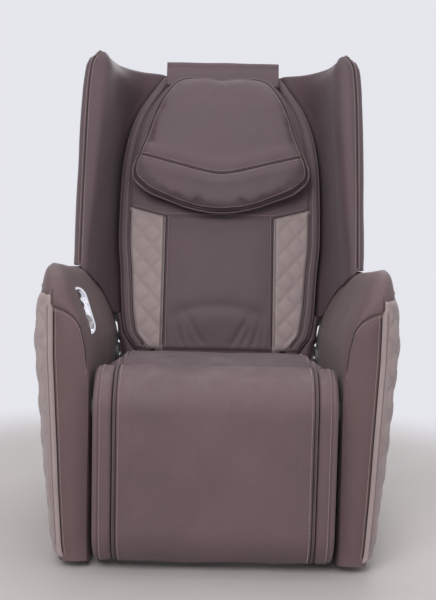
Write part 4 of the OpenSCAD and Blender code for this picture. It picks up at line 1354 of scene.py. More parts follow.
    def quilt(self, mat: Material) -> Object:
        """The padded side panel, quilted in diamonds, with a plain binding at its front edge.

        Args:
            mat: Finish of the piece.

        Returns:
            The panel.
        """
        per = 14
        cols, rows = per * 11 + 1, per * 8 + 1
        p = self.quilt_points(cols, rows)
        n = normals_of(p)
        n *= np.sign(n[rows // 2, cols // 2, 0])
        j, i = np.meshgrid(np.arange(cols), np.arange(rows))
        u, v = j / per, i / per
        a, b = u + v, u - v
        run = np.linalg.norm(np.gradient(p, axis=1), axis=2).cumsum(1)
        drop = np.linalg.norm(np.gradient(p, axis=0), axis=2).cumsum(0)
        back = run - run[:, :1]
        edge = np.minimum.reduce([back, run[:, -1:] - run, drop - drop[:1], drop[-1:] - drop])
        inside = smooth(back, self.binding + .001, self.binding + .006)
        h = self.relief * diamonds(a, b) * inside * smooth(edge, .001, .012)
        k = back / self.binding
        h += .0022 * np.sqrt(np.clip(k * (1 - k) * 4, 0, 1)) * smooth(drop, 0, .004)
        h -= (self.bed - .0006) * (1 - smooth(edge, 0, .0035))
        h -= .0022 * bump(back - self.binding, .0022) * smooth(drop, .004, .02)
        h += .0012 * ripple(p, .11, 5.2) * smooth(edge, .01, .05)
        skin = Skin()
        skin.grid(p + n * h[..., None], flip=True)
        q = points(*(np.where(inside > .5, v, .5).ravel() for v in (a, b)), 0)
        return self.finish_mesh(skin, f"side_panel_{self.side.word}_quilt", mat, {"quilt": q})

    def finish_mesh(self, skin: Skin, name: str, mat: Material,
                    values: dict[str, Array] | None = None) -> Object:
        """Mirrors a piece for the left side and makes its object.

        Args:
            skin: Points and faces as built for the right side.
            name: The piece's name.
            mat: Finish of the piece.
            values: Point attributes by name.

        Returns:
            The object.
        """
        if self.side is Side.LEFT:
            skin.points = [q * np.array([-1, 1, 1]) for q in skin.points]
            skin.faces = [f[::-1] for f in skin.faces]
        return skin.make(name, mat, values=values)

    def seams(self, leather: Object, quilt: Object,
              shop: Workshop) -> list[Object]:
        """Stitch rows along the front seam, the arc seam and the binding.

        Args:
            leather: The armrest's cover.
            quilt: The side panel.
            shop: The chair's finishes.

        Returns:
            Dark stitches, pale stitches and the dark cords of painted shade in the seam folds.
        """
        s = self.side.value
        on_leather, on_quilt = Surface(leather), Surface(quilt)
        dark, pale, fold = Skin(), Skin(), Skin()
        front = np.array([self.line(Zone.FLANK, g, 18)[0] for g in np.linspace(.06, .975, 60)])
        arc = [self.line(Zone.CROWN_IN, g, 18)[0] for g in np.linspace(.0, 1, 24)]
        arc += [self.line(Zone.CROWN_OUT, g, 18)[0] for g in np.linspace(.1, .55, 8)]
        arc = np.array(arc)
        for path, shift in ((front, (-.0065, 0)), (arc, (0, -.006))):
            q = path * np.array([s, 1, 1]) + np.array([s * shift[0], -.03, shift[1]])
            hit, nor = on_leather.drop(q, np.array([0, 1, 0]), .0003)
            dark.stitches(hit, nor)
        # dark cords of painted groove shade where the leather meets the binding and along the arc seam, and
        # the binding's own stitches
        g = spaced(front, 90) * np.array([s, 1, 1])
        hit, nor = on_leather.near(g, -.0004)
        fold.tube(hit, .0017, 6)
        hit, _ = on_leather.near(arc * np.array([s, 1, 1]), .0)
        fold.tube(hit, .0010, 6)
        start = self.quilt_points(12 * 14, 40)
        cols = [i for i in range(start.shape[1])
                if abs(length(start[20, : i + 1]) - .0085) < .0045]
        line = start[2:-2, cols[len(cols) // 2]] * np.array([s, 1, 1])
        hit, nor = on_quilt.near(line, .0003)
        pale.stitches(hit, nor)
        # stitches along the quilt's upper seam, on the crown
        top = self.line(Zone.CROWN_OUT, .90, 18)
        top = top[(top[:, 1] > -.40) & (top[:, 1] < .26)] * np.array([s, 1, 1])
        hit, nor = on_leather.near(top, .0003)
        dark.stitches(hit, nor)
        return [dark.make(f"armrest_{self.side.word}_stitches", shop.dark_thread),
                pale.make(f"binding_{self.side.word}_stitches", shop.pale_thread),
                fold.make(f"armrest_{self.side.word}_seams", shop.fold)]

    def cut_pocket(self, obj: Object, mat: Material) -> None:
        """Cuts the pocket that the controller sits in, with a clearance round it.

        Args:
            obj: The cover that is cut.
            mat: Finish of the cut faces.
        """
        w, l = .044 / 2 + .0003, .098 / 2 - .022
        ring = [(w * math.cos(t), l + w * math.sin(t)) for t in np.linspace(0, np.pi, 24)]
        ring += [(-x, -y) for x, y in ring]
        rot = turn("z", -32) @ turn("y", 68) @ turn("z", 90)
        origin = np.array([-self.inner - .023, self.front + .080, .5839 - .087])
        skin = Skin()
        p = np.array([[[x, y, z] for x, y in ring] for z in (-.0122, .06)]) @ rot.T + origin
        i = skin.grid(p, wrap=True, flip=True)
        skin.fan(i[0])
        skin.fan(i[1], flip=True)
        tool = skin.make("pocket_tool", mat, soft=False)
        m = obj.modifiers.new("pocket", "BOOLEAN")
        m.operation, m.solver, m.object = "DIFFERENCE", "EXACT", tool
        apply_modifiers(obj)
        bpy.data.objects.remove(tool)

    def build(self, shop: Workshop) -> None:
        """Builds the armrest and its panel and lets them ride on the base.

        Args:
            shop: The chair's finishes.
        """
        leather = self.leather(shop.brown)
        quilt = self.quilt(shop.quilt)
        rows = self.seams(leather, quilt, shop)
        if self.side is Side.LEFT:
            self.cut_pocket(leather, shop.brown)
        w = self.side.word
        for obj, slot in ((leather, Slot.BROWN), (quilt, Slot.QUILT), (rows[0], Slot.BROWN),
                          (rows[1], Slot.QUILT), (rows[2], Slot.BROWN)):
            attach(obj, "base")
        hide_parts(f"armrest_{w}")
        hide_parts(f"side_panel_{w}")
        LOG.info("armrest %s with its quilted panel", w)


def turn(axis: str, degrees: float) -> Array:
    """Rotation matrix about one axis.

    Args:
        axis: x, y or z.
        degrees: Angle.

    Returns:
        The matrix.
    """
    c, s = math.cos(math.radians(degrees)), math.sin(math.radians(degrees))
    return np.array({"x": [[1, 0, 0], [0, c, -s], [0, s, c]],
                     "y": [[c, 0, s], [0, 1, 0], [-s, 0, c]],
                     "z": [[c, -s, 0], [s, c, 0], [0, 0, 1]]}[axis])


# ---------------------------------------------------------------- backrest frame


@dataclass
class BackFrame:
    """Local frame of the reclined backrest."""

    lean: float = math.radians(18)
    pivot: tuple[float, float] = PIVOT

    def world(self, q: Array) -> Array:
        """World points of local (x, n, u).

        Args:
            q: Local points, the last axis x, n, u.

        Returns:
            World points.
        """
        q = np.asarray(q, float)
        c, s = math.cos(self.lean), math.sin(self.lean)
        x, n, u = q[..., 0], q[..., 1], q[..., 2]
        return np.stack([x, self.pivot[0] - n * c + u * s, self.pivot[1] + n * s + u * c], -1)

    def local(self, p: Array) -> Array:
        """Local (x, n, u) of world points.

        Args:
            p: Points in the chair's frame.

        Returns:
            The same points in the back's frame.
        """
        c, s = math.cos(self.lean), math.sin(self.lean)
        y, z = p[..., 1] - self.pivot[0], p[..., 2] - self.pivot[1]
        return np.stack([p[..., 0], -y * c + z * s, y * s + z * c], -1)

    def at(self, x: Array | float, n: Array | float, u: Array | float) -> Array:
        """World points from local coordinates, each a number or a row."""
        return self.world(points(x, n, u))

    @property
    def face(self) -> Array:
        """Unit vector out of the back's face."""
        return self.at(0, 1, 0) - self.at(0, 0, 0)

    @property
    def down(self) -> Array:
        """Unit vector down along the back."""
        return self.at(0, 0, -1) - self.at(0, 0, 0)


BACK = BackFrame()
CUSHION_TAB: Table = [(.006, .196), (.024, .203), (.044, .218), (.070, .225), (.120, .231),
                      (.200, .236), (.280, .243), (.420, .242), (.500, .235), (.560, .222),
                      (.610, .202), (.660, .170), (.719, .128)]
CUSHION_LINE = spline(CUSHION_TAB, 6)


def cushion_half(u: Array | float) -> Array:
    """Half width of the back cushion at height u."""
    return np.interp(u, CUSHION_LINE[:, 0], CUSHION_LINE[:, 1])


OUTER_STEPS, INNER_STEPS = 44, 60


@dataclass
class Wing:
    """Padded side wing of the backrest, with a double-stitched seam near its front edge."""

    side: Side
    arm: Armrest
    half: float = 0.333
    reach: float = 0.230
    seam: float = 0.022
    foot: float = 0.100
    top: float = 0.690
    root: float = 0.717
    rail: float = 0.232
    gap: float = 0.0035
    end_rise: float = 0.007
    foot_rise: float = 0.006
    drawn: dict[float, tuple[Array, Array]] = field(default_factory=dict)

    def side_x(self, u: Array | float) -> Array:
        """Outer side's x at height u: straight, then rounded in over the horn.

        Args:
            u: Height, or heights, up the back.

        Returns:
            The x at each height.
        """
        return lookup([(.10, .3325), (.20, .334), (.32, .3345), (.45, .3345), (.55, .3335),
                       (.60, .3320), (.640, .3290), (.658, .3260), (.670, .3215), (.680, .3140),
                       (.687, .3060), (.692, .2980)], u)

    def section(self, u: float) -> tuple[Array, Array]:
        """Outer and inner curve of the section at height u, each from the rear to the tip.

        Args:
            u: Height along the back.

        Returns:
            Two sets of (x, n) points with the same count.
        """
        xo = float(self.side_x(u))
        xi = float(cushion_half(min(u, .719))) + .006
        ease = float(lookup([(.655, 0), (.670, .002), (.680, .007), (.687, .013), (.692, .020)], u))
        xt = mix(.288, .258, max(0.0, (u - .2) / (self.top - .2))) + ease
        r = self.reach - ease
        nose = mix(xo, xt, .5)
        outer = spline([(xo - .060, -.095), (xo - .028, -.086), (xo - .009, -.046), (xo - .001, .020),
                        (xo, .090), (xo - .001, .150), (xo - .004, r - .034), (xo - .010, r - .012),
                        (nose, r)], 8)
        inner = spline([(xi, .0015), (xi + .001, .010), (mix(xi, xt, .30), .026),
                        (mix(xi, xt, .56), .058), (mix(xi, xt, .74), .095), (mix(xi, xt, .88), .137),
                        (xt - .003, r - .048), (xt + .0005, r - .028),
                        (mix(xt, nose, .32), r - .009), (nose, r)], 8)
        rear = np.array([(self.rail, n) for n in (-.095, -.050, -.003)])
        return spaced(outer, OUTER_STEPS), spaced(np.vstack([rear, inner]), INNER_STEPS)

    def lowest(self, x: float, n: float) -> float:
        """Lowest u at which (x, n) is clear of the armrest, with the gap kept.

        Args:
            x: Across.
            n: Out of the back's face.

        Returns:
            The height u.
        """
        if x < self.arm.inner - .0045:
            return self.foot
        u = np.linspace(self.foot, self.top, 240)
        y, z = BACK.at(x, n, u)[:, 1:].T
        up = x + .6 * self.gap
        r = float(np.interp(up, self.arm.up[:, 0], self.arm.up[:, 1])) if up < .327 else self.arm.reach
        need = r + self.gap
        b = self.arm.base(y)
        have = np.where(y < self.arm.pivot[0], (z - self.arm.pivot[1]) * math.cos(self.arm.slope) + b,
                        np.hypot(z - self.arm.pivot[1], b))
        bad = np.nonzero(have < need)[0]
        return float(u[min(bad[-1] + 1, len(u) - 1)]) if len(bad) else self.foot

    def crest(self, n: float) -> float:
        """Height of the wing's top edge at n, lower at its horn than at its root."""
        return float(mix(self.root, self.top, smooth(n, .02, .24)))

    def cached(self, u: float) -> tuple[Array, Array]:
        """Section at u, kept so that each height is drawn once.

        Args:
            u: Height along the back.

        Returns:
            Outer and inner curve.
        """
        key = round(float(u), 4)
        if key not in self.drawn:
            self.drawn[key] = self.section(key)
        return self.drawn[key]

    def levels(self) -> Array:
        """Rings (x, n, u) from the foot to the crest, outer side first and back along the inner.

        Returns:
            The rings, one after the other.
        """
        steps = np.r_[0, np.cumsum(np.r_[.006, .010, np.full(34, .0172)])]
        base = self.section(self.foot)
        low = [[self.lowest(x, n) for x, n in curve] for curve in base]
        rings = []
        for t in steps / steps[-1]:
            curves = []
            for which, curve in enumerate(base):
                at = [mix(u, self.crest(n) - self.end_rise, t) for u, n in zip(low[which], curve[:, 1])]
                curves.append(np.array([(*self.cached(u)[which][i], u) for i, u in enumerate(at)]))
            rings.append(np.vstack([curves[0], curves[1][::-1][1:]]))
        return np.array(rings)

    def middle(self, ring: Array) -> Array:
        """For each point of a ring, the point half way between the two sides.

        Args:
            ring: Ring (x, n, u), outer side first.

        Returns:
            The middle points, in the order of the ring.
        """
        outer, inner = np.arange(OUTER_STEPS), np.arange(OUTER_STEPS - 1, len(ring))
        line = (spaced(ring[outer], INNER_STEPS) + spaced(ring[inner][::-1], INNER_STEPS)) / 2
        out = np.zeros_like(ring)
        for side, turned in ((inner, -1), (outer, 1)):
            at = np.linspace(0, INNER_STEPS - 1, len(side)).round().astype(int)
            out[side] = line[at][::turned]
        return out

    def round_end(self, ring: Array, rise: float, sign: float) -> list[Array]:
        """Rings that close the wing in a round pad.

        Args:
            ring: The last ring of the straight part.
            rise: How far the end stands out.
            sign: 1 at the top, less than 0 at the foot.

        Returns:
            The rings, from the one given towards the middle line.
        """
        m = self.middle(ring)
        d = (m - ring) * np.array([1, 1, 0])
        far = np.linalg.norm(d, axis=1, keepdims=True)
        radius = np.minimum(2.4 * rise, far)
        lift = rise * np.sqrt(radius / (2.4 * rise))
        out = []
        for a in np.radians([18, 36, 54, 70, 82, 90]):
            q = ring + d / np.maximum(far, 1e-9) * radius * (1 - math.cos(a))
            q[:, 2] += sign * lift[:, 0] * math.sin(a)
            out.append(q)
        return [*out, points(m[:, 0], m[:, 1], out[-1][:, 2] + sign * .0006)]

    def build(self, shop: Workshop) -> None:
        """Builds the wing, its seam and its stitches.

        Args:
            shop: The chair's finishes.
        """
        p = self.levels()
        top = self.round_end(p[-1], self.end_rise, 1)
        bottom = self.round_end(p[0], self.foot_rise, -.4)
        p = np.array(bottom[::-1] + list(p) + top)
        world = BACK.world(p)
        n = normals_of(world)
        if n[20, 20, 0] < 0:
            n = -n
        fade = np.zeros(p.shape[:2])
        fade[len(bottom) + 3 : len(p) - len(top) + 3] = 1
        swell = .0012 * ripple(world, .09, 2.2 * self.side.value + 5) * fade
        seam_x = p[..., 0] - (self.side_x(p[..., 2]) - self.seam)
        near = bump(seam_x, .0034) * smooth(p[..., 1], self.reach - .03, self.reach - .012)
        world = world + n * (swell - .0032 * near)[..., None]
        if self.side is Side.LEFT:
            world[..., 0] *= -1
        skin = Skin()
        skin.grid(world, wrap=True, flip=self.side is Side.LEFT)
        obj = skin.make(f"wing_{self.side.word}_leather", shop.wing)
        carry("backrest", Slot.BROWN, obj, *self.stitch(obj, shop))
        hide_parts(f"wing_{self.side.word}")
        LOG.info("wing %s", self.side.word)

    def stitch(self, obj: Object, shop: Workshop) -> list[Object]:
        """Two rows of stitches beside the seam, up the front edge and over the horn.

        Args:
            obj: The finished piece that they lie on.
            shop: The chair's finishes.

        Returns:
            The stitches and the seam's dark cord of painted shade.
        """
        mirror = np.array([self.side.value, 1, 1])
        surface = Surface(obj)
        row, fold = Skin(), Skin()
        start = self.lowest(self.half - self.seam, self.reach - .01) + .004
        u = np.linspace(start, self.top - .004, 90)
        k = np.linspace(self.reach - .012, .10, 26)
        for off in (.0044 - self.seam, -self.seam, -.0044 - self.seam):
            q = BACK.at(self.side_x(u) + off, self.reach + .03, u) * mirror
            # the middle line gets a dark cord of painted shade in the seam groove
            if off == -self.seam:
                surface.press(fold, q, -BACK.face, .0012, .0003)
                continue
            surface.sew(row, q, -BACK.face, .0003)
            q = BACK.at(self.side_x(self.top) + .012 + off, k, self.top + .05) * mirror
            surface.sew(row, q, BACK.down, .0003)
        return [row.make(f"wing_{self.side.word}_stitches", shop.dark_thread),
                fold.make(f"wing_{self.side.word}_seam", shop.fold)]


# ---------------------------------------------------------------- back cushion and pillow


@dataclass
class BackCushion:
    """Long cushion of the backrest: leather band, two quilted strips and a leather middle."""

    low: float = 0.006
    high: float = 0.719
    thick: float = 0.040
    crown: float = 0.019
    band: float = 0.024
    seam_x: float = 0.130
    strip_top: float = 0.334
    strip_foot: float = -0.006
    relief: float = 0.0032

    def band_x(self, u: Array) -> Array:
        """x of the seam between the band and what lies inside it."""
        return cushion_half(u) - self.band

    def half(self, u: Array) -> Array:
        """Half width, rounded off at both ends."""
        ends = np.minimum((self.high - u) / .030, 1.0)
        return cushion_half(u) - .022 * (1 - np.sqrt(np.clip(1 - (1 - ends) ** 2, 0, 1)))

    def strip_ends(self, x: Array) -> tuple[Array, Array]:
        """Curved lower and upper end of the quilted strips at x."""
        k = np.clip((np.abs(x) - self.seam_x) / .085, 0, 1)
        return self.strip_foot + .040 * k, self.strip_top + .024 * k

    def front(self, x: Array, u: Array) -> tuple[Array, Array]:
        """Height n of the front at (x, u), and the quilt's coordinates.

        Args:
            x: Across.
            u: Up.

        Returns:
            Heights, and three numbers a point for the quilt attribute.
        """
        ax = np.abs(x)
        half = self.half(u)
        inner = self.band_x(u)
        inset = np.clip(half - ax, 0, 1)
        ends = np.minimum(u - self.low, self.high - u)
        rim = np.minimum(inset, ends)
        n = self.thick + .0025 * np.sqrt(np.clip(rim / .012, 0, 1)) + .003
        n = n + (self.crown - .006) * smooth(inset, .02, .19) * smooth(ends, .0, .10)
        lo, hi = self.strip_ends(x)
        in_strip = (smooth(ax, self.seam_x + .001, self.seam_x + .010) * smooth(inner - ax, .001, .010)
                    * smooth(u, lo, lo + .008) * smooth(hi - u, 0, .008))
        pitch_x, pitch_u = .050, .058
        a = ax / pitch_x + u / pitch_u + .25
        b = ax / pitch_x - u / pitch_u + .25
        n = n + in_strip * (.0030 + self.relief * diamonds(a, b))
        n = n - .0050 * bump(ax - self.seam_x, .0048) * (u < hi) * smooth(ends, 0, .02)
        n = n - .0042 * bump(ax - inner, .0036) * smooth(ends, 0, .02)
        n = n - .0036 * bump(u - hi, .0035) * smooth(inner - ax, -.004, .004)
        n = n - (.0026 * bump(u - lo, .0035) * smooth(ax, self.seam_x - .002, self.seam_x + .003)
                 * smooth(inner - ax, -.004, .004))
        n = n + (.0026 * smooth(inner - ax, .0, .03) * smooth(self.seam_x - ax, .0, .05)
                 * smooth(hi - u, 0, .05))
        # folds where the cushion meets the seat
        for cx, lean, w, h in ((.040, .55, .008, .0026), (.062, .40, .008, .0022),
                               (.086, .25, .007, .0024), (.104, .12, .006, .0018)):
            line = ax - cx - (u - .030) * lean
            n = n - h * bump(line, w) * smooth(u, .012, .030) * (1 - smooth(u, .055, .125))
            n = n + h * .5 * bump(line - w * 1.8, w) * smooth(u, .012, .03) * (1 - smooth(u, .05, .11))
        n = n - .0040 * bump(u - (.112 - 1.8 * np.square(x)), .017) * smooth(self.seam_x - ax, -.01, .05)
        q = points(np.where(in_strip > .3, a, .5), np.where(in_strip > .3, b, .5), in_strip)
        return np.minimum(n, .0598 + .0030 * (u < .30)), q

    def across(self, u: float) -> Array:
        """x of the points in one row at height u, close together at the seams.

        Args:
            u: Height along the back.

        Returns:
            Places across, left to right.
        """
        h, i = float(self.half(u)), float(self.band_x(u))
        s = min(self.seam_x, i - .012)
        row = np.r_[np.linspace(0, s - .012, 30)[:-1], np.linspace(s - .012, s + .012, 12)[:-1],
                    np.linspace(s + .012, i - .008, 26)[:-1], np.linspace(i - .008, i + .008, 9)[:-1],
                    np.linspace(i + .008, h - .001, 9)]
        return np.r_[-row[::-1][:-1], row]

    def gusset(self, skin: Skin, face: Array, local: Array) -> None:
        """Adds the band round the edge and the flat back.

        Args:
            skin: Mesh that already holds the front.
            face: Indices of the front, rows by columns.
            local: Local points of the front in the same order.
        """
        def edge_of(g: Array) -> Array:
            """The outermost points, anticlockwise from the lower left."""
            return np.concatenate([g[0], g[1:, -1], g[-1, ::-1][1:], g[1:-1, 0][::-1]])
        ring = edge_of(local)
        out = ring - np.array([0, 0, (self.low + self.high) / 2])
        out[:, 1] = 0
        out = unit(out)
        rows = [edge_of(face)]
        for k, bulge in ((.92, .0010), (.75, .0026), (.55, .0032), (.35, .0026), (.15, .0008), (.04, -.004)):
            g = ring + out * bulge
            g[:, 1] = ring[:, 1] * k
            rows.append(skin.add(BACK.world(g)))
        shut = ring - out * .014
        shut[:, 1] = .0004
        rows.append(skin.add(BACK.world(shut)))
        skin.join(np.array(rows), wrap=True)
        m, k = face.shape
        idx = rows[-1]
        right = idx[k - 1 : k + m - 1].tolist()
        left = [int(idx[0]), *idx[2 * k + m - 2 :][::-1].tolist(), int(idx[2 * k + m - 3])]
        skin.faces.append(tuple(idx[:k][::-1].tolist()))
        skin.faces += [(left[j], left[j + 1], right[j + 1], right[j]) for j in range(m - 1)]
        skin.faces.append(tuple(idx[k + m - 2 : 2 * k + m - 2][::-1].tolist()))

    def build(self, shop: Workshop) -> None:
        """Builds the cushion, its piping and its seams.

        Args:
            shop: The chair's finishes.
        """
        lo, hi = self.low, self.high
        us = np.r_[lo, lo + .004, lo + .010, np.linspace(lo + .016, hi - .016, 208), hi - .010, hi - .004, hi]
        x = np.array([self.across(u) for u in us])
        u = np.repeat(us[:, None], x.shape[1], 1)
        n, q = self.front(x, u)
        edge = np.minimum(np.abs(np.abs(x) - self.half(u)), np.minimum(u - lo, hi - u))
        n = n - .010 * (1 - np.sqrt(np.clip(edge / .006, 0, 1)))
        local = points(x, n, u)
        local[..., 1] += .0011 * ripple(local, .07, 4.4) * smooth(edge, .01, .05) * np.where(u < .33, 1, .2)
        skin = Skin()
        self.gusset(skin, skin.grid(BACK.world(local)), local)
        q_all = np.zeros((skin.total, 3))
        q_all[:, :2] = .5
        q_all[: x.size] = q.reshape(-1, 3)
        obj = skin.make("back_cushion_cover", shop.cushion, values={"quilt": q_all})
        obj.data.materials.append(shop.quilt)
        centre = np.array([BACK.local(np.array(p.center))[[0, 2]] for p in obj.data.polygons])
        nrm = np.array([p.normal.dot(Vector(BACK.face)) for p in obj.data.polygons])
        foot, head = self.strip_ends(centre[:, 0])
        cx, cu = np.abs(centre[:, 0]), centre[:, 1]
        strip = (cx > self.seam_x) & (cx < self.band_x(cu)) & (cu > foot) & (cu < head) & (nrm > .3)
        obj.data.polygons.foreach_set("material_index", strip.astype(np.int32))
        trims = [self.skirt(shop), *self.trims(obj, shop)]
        carry("backrest", Slot.BROWN, obj, *trims)
        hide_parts("back_cushion")
        LOG.info("back cushion with %d trims", len(trims))

    def skirt(self, shop: Workshop) -> Object:
        """Leather skirt that closes the corners beside the cushion and hangs behind the seat.

        Args:
            shop: The chair's finishes.

        Returns:
            The skirt.
        """
        side = np.linspace(.128, .020, 44)
        inner = points(cushion_half(side) + .0015, side)
        reach = lookup([(.020, .2342), (.032, .2345), (.040, .2405), (.062, .2405), (.075, .2425),
                        (.090, .2462), (.0955, .2470), (.0985, .2325), (.128, .2325)], side)
        outer = points(np.maximum(reach, inner[:, 0] + .0006), side)
        turn_in = np.linspace(0, 1, 9)[1:]
        low_x = float(cushion_half(self.low)) + .0015
        inner = np.vstack([inner, points(mix(inner[-1, 0], low_x - .02, turn_in),
                                         mix(.020, self.low - .0015, np.sin(turn_in * np.pi / 2)))])
        outer = np.vstack([outer, points(.2342 - .016 * turn_in ** 2, mix(.020, -.034, turn_in))])
        flat = np.linspace(1, 0, 16)[1:]
        inner = np.vstack([inner, points(inner[-1, 0] * flat, inner[-1, 1])])
        outer = np.vstack([outer, points(outer[-1, 0] * flat, -.034)])
        inner, outer = (np.vstack([v, (v * np.array([-1, 1]))[::-1][1:]]) for v in (inner, outer))
        rows = []
        for t, n in ((0, .0020), (0, .0260), (.06, .0310), (.2, .0345), (.4, .0355), (.6, .0335),
                     (.8, .0260), (.94, .0140), (1, .0060), (1, .0020)):
            q = mix(inner, outer, t)
            over_pin = (t > .5) & (q[:, 1] < .034)
            rows.append(points(q[:, 0], np.where(over_pin, max(n, .0155), n), q[:, 1]))
        p = np.array(rows)
        p[2:-2, :, 1] += .0016 * ripple(p[2:-2], .035, 7.7)
        skin = Skin()
        i = skin.grid(BACK.world(p), flip=True)
        skin.join(np.stack([i[-1], i[0]]), flip=True)
        skin.fan(i[:, 0])
        skin.fan(i[:, -1], flip=True)
        obj = skin.make("back_skirt_leather", shop.wing)
        return obj

    def trims(self, obj: Object, shop: Workshop) -> list[Object]:
        """Piping round the edge and beside the band, dark cords of painted shade in the seams, and stitch
        rows.

        Args:
            obj: The finished piece that they lie on.
            shop: The chair's finishes.

        Returns:
            Piping, dark cords of painted seam shade, dark stitches and pale stitches.
        """
        surface = Surface(obj)
        cords, dark, pale, fold = Skin(), Skin(), Skin(), Skin()
        u = np.linspace(self.low + .012, self.high - .018, 200)
        foot, head = (end[0] for end in self.strip_ends(np.array([self.seam_x])))
        for s in (-1, 1):
            rim = BACK.at(s * (self.half(u) - .0016), self.thick - .004, u)
            cords.tube(surface.near(rim, .0002)[0], .0024)
            inner = points(s * (self.band_x(u) + .0005), .09, u)
            quilted = inner[u < self.strip_top + .02]
            cords.tube(surface.drop(BACK.world(quilted), -BACK.face, .0008)[0], .0021)
            surface.sew(dark, BACK.world(inner[u < .42] + np.array([s * .0065, 0, 0])), -BACK.face)
            w = u[u < head]
            # dark cords of painted shade in the seam grooves
            surface.press(fold, BACK.at(s * self.seam_x, .09, w), -BACK.face, .0013)
            surface.press(fold, BACK.world(quilted - np.array([s * .0032, 0, 0])), -BACK.face, .0012)
            surface.sew(dark, BACK.at(s * (self.seam_x - .0065), .09, w), -BACK.face)
            w = w[w > foot + .004]
            surface.sew(pale, BACK.at(s * (self.seam_x + .0065), .09, w), -BACK.face)
        x = np.linspace(-.205, .205, 90)
        surface.sew(dark, BACK.at(x, .09, self.strip_ends(x)[1] + .006), -BACK.face)
        # dark cords of painted shade along the strips' upper seams
        x = np.linspace(self.seam_x, .212, 30)
        for s in (-1, 1):
            surface.press(fold, BACK.at(s * x, .09, self.strip_ends(x)[1]), -BACK.face, .0011)
        return [cords.make("back_cushion_piping", shop.cord), fold.make("back_cushion_seam_shadow", shop.fold),
                dark.make("back_cushion_stitches", shop.dark_thread),
                pale.make("back_cushion_quilt_stitches", shop.pale_thread)]


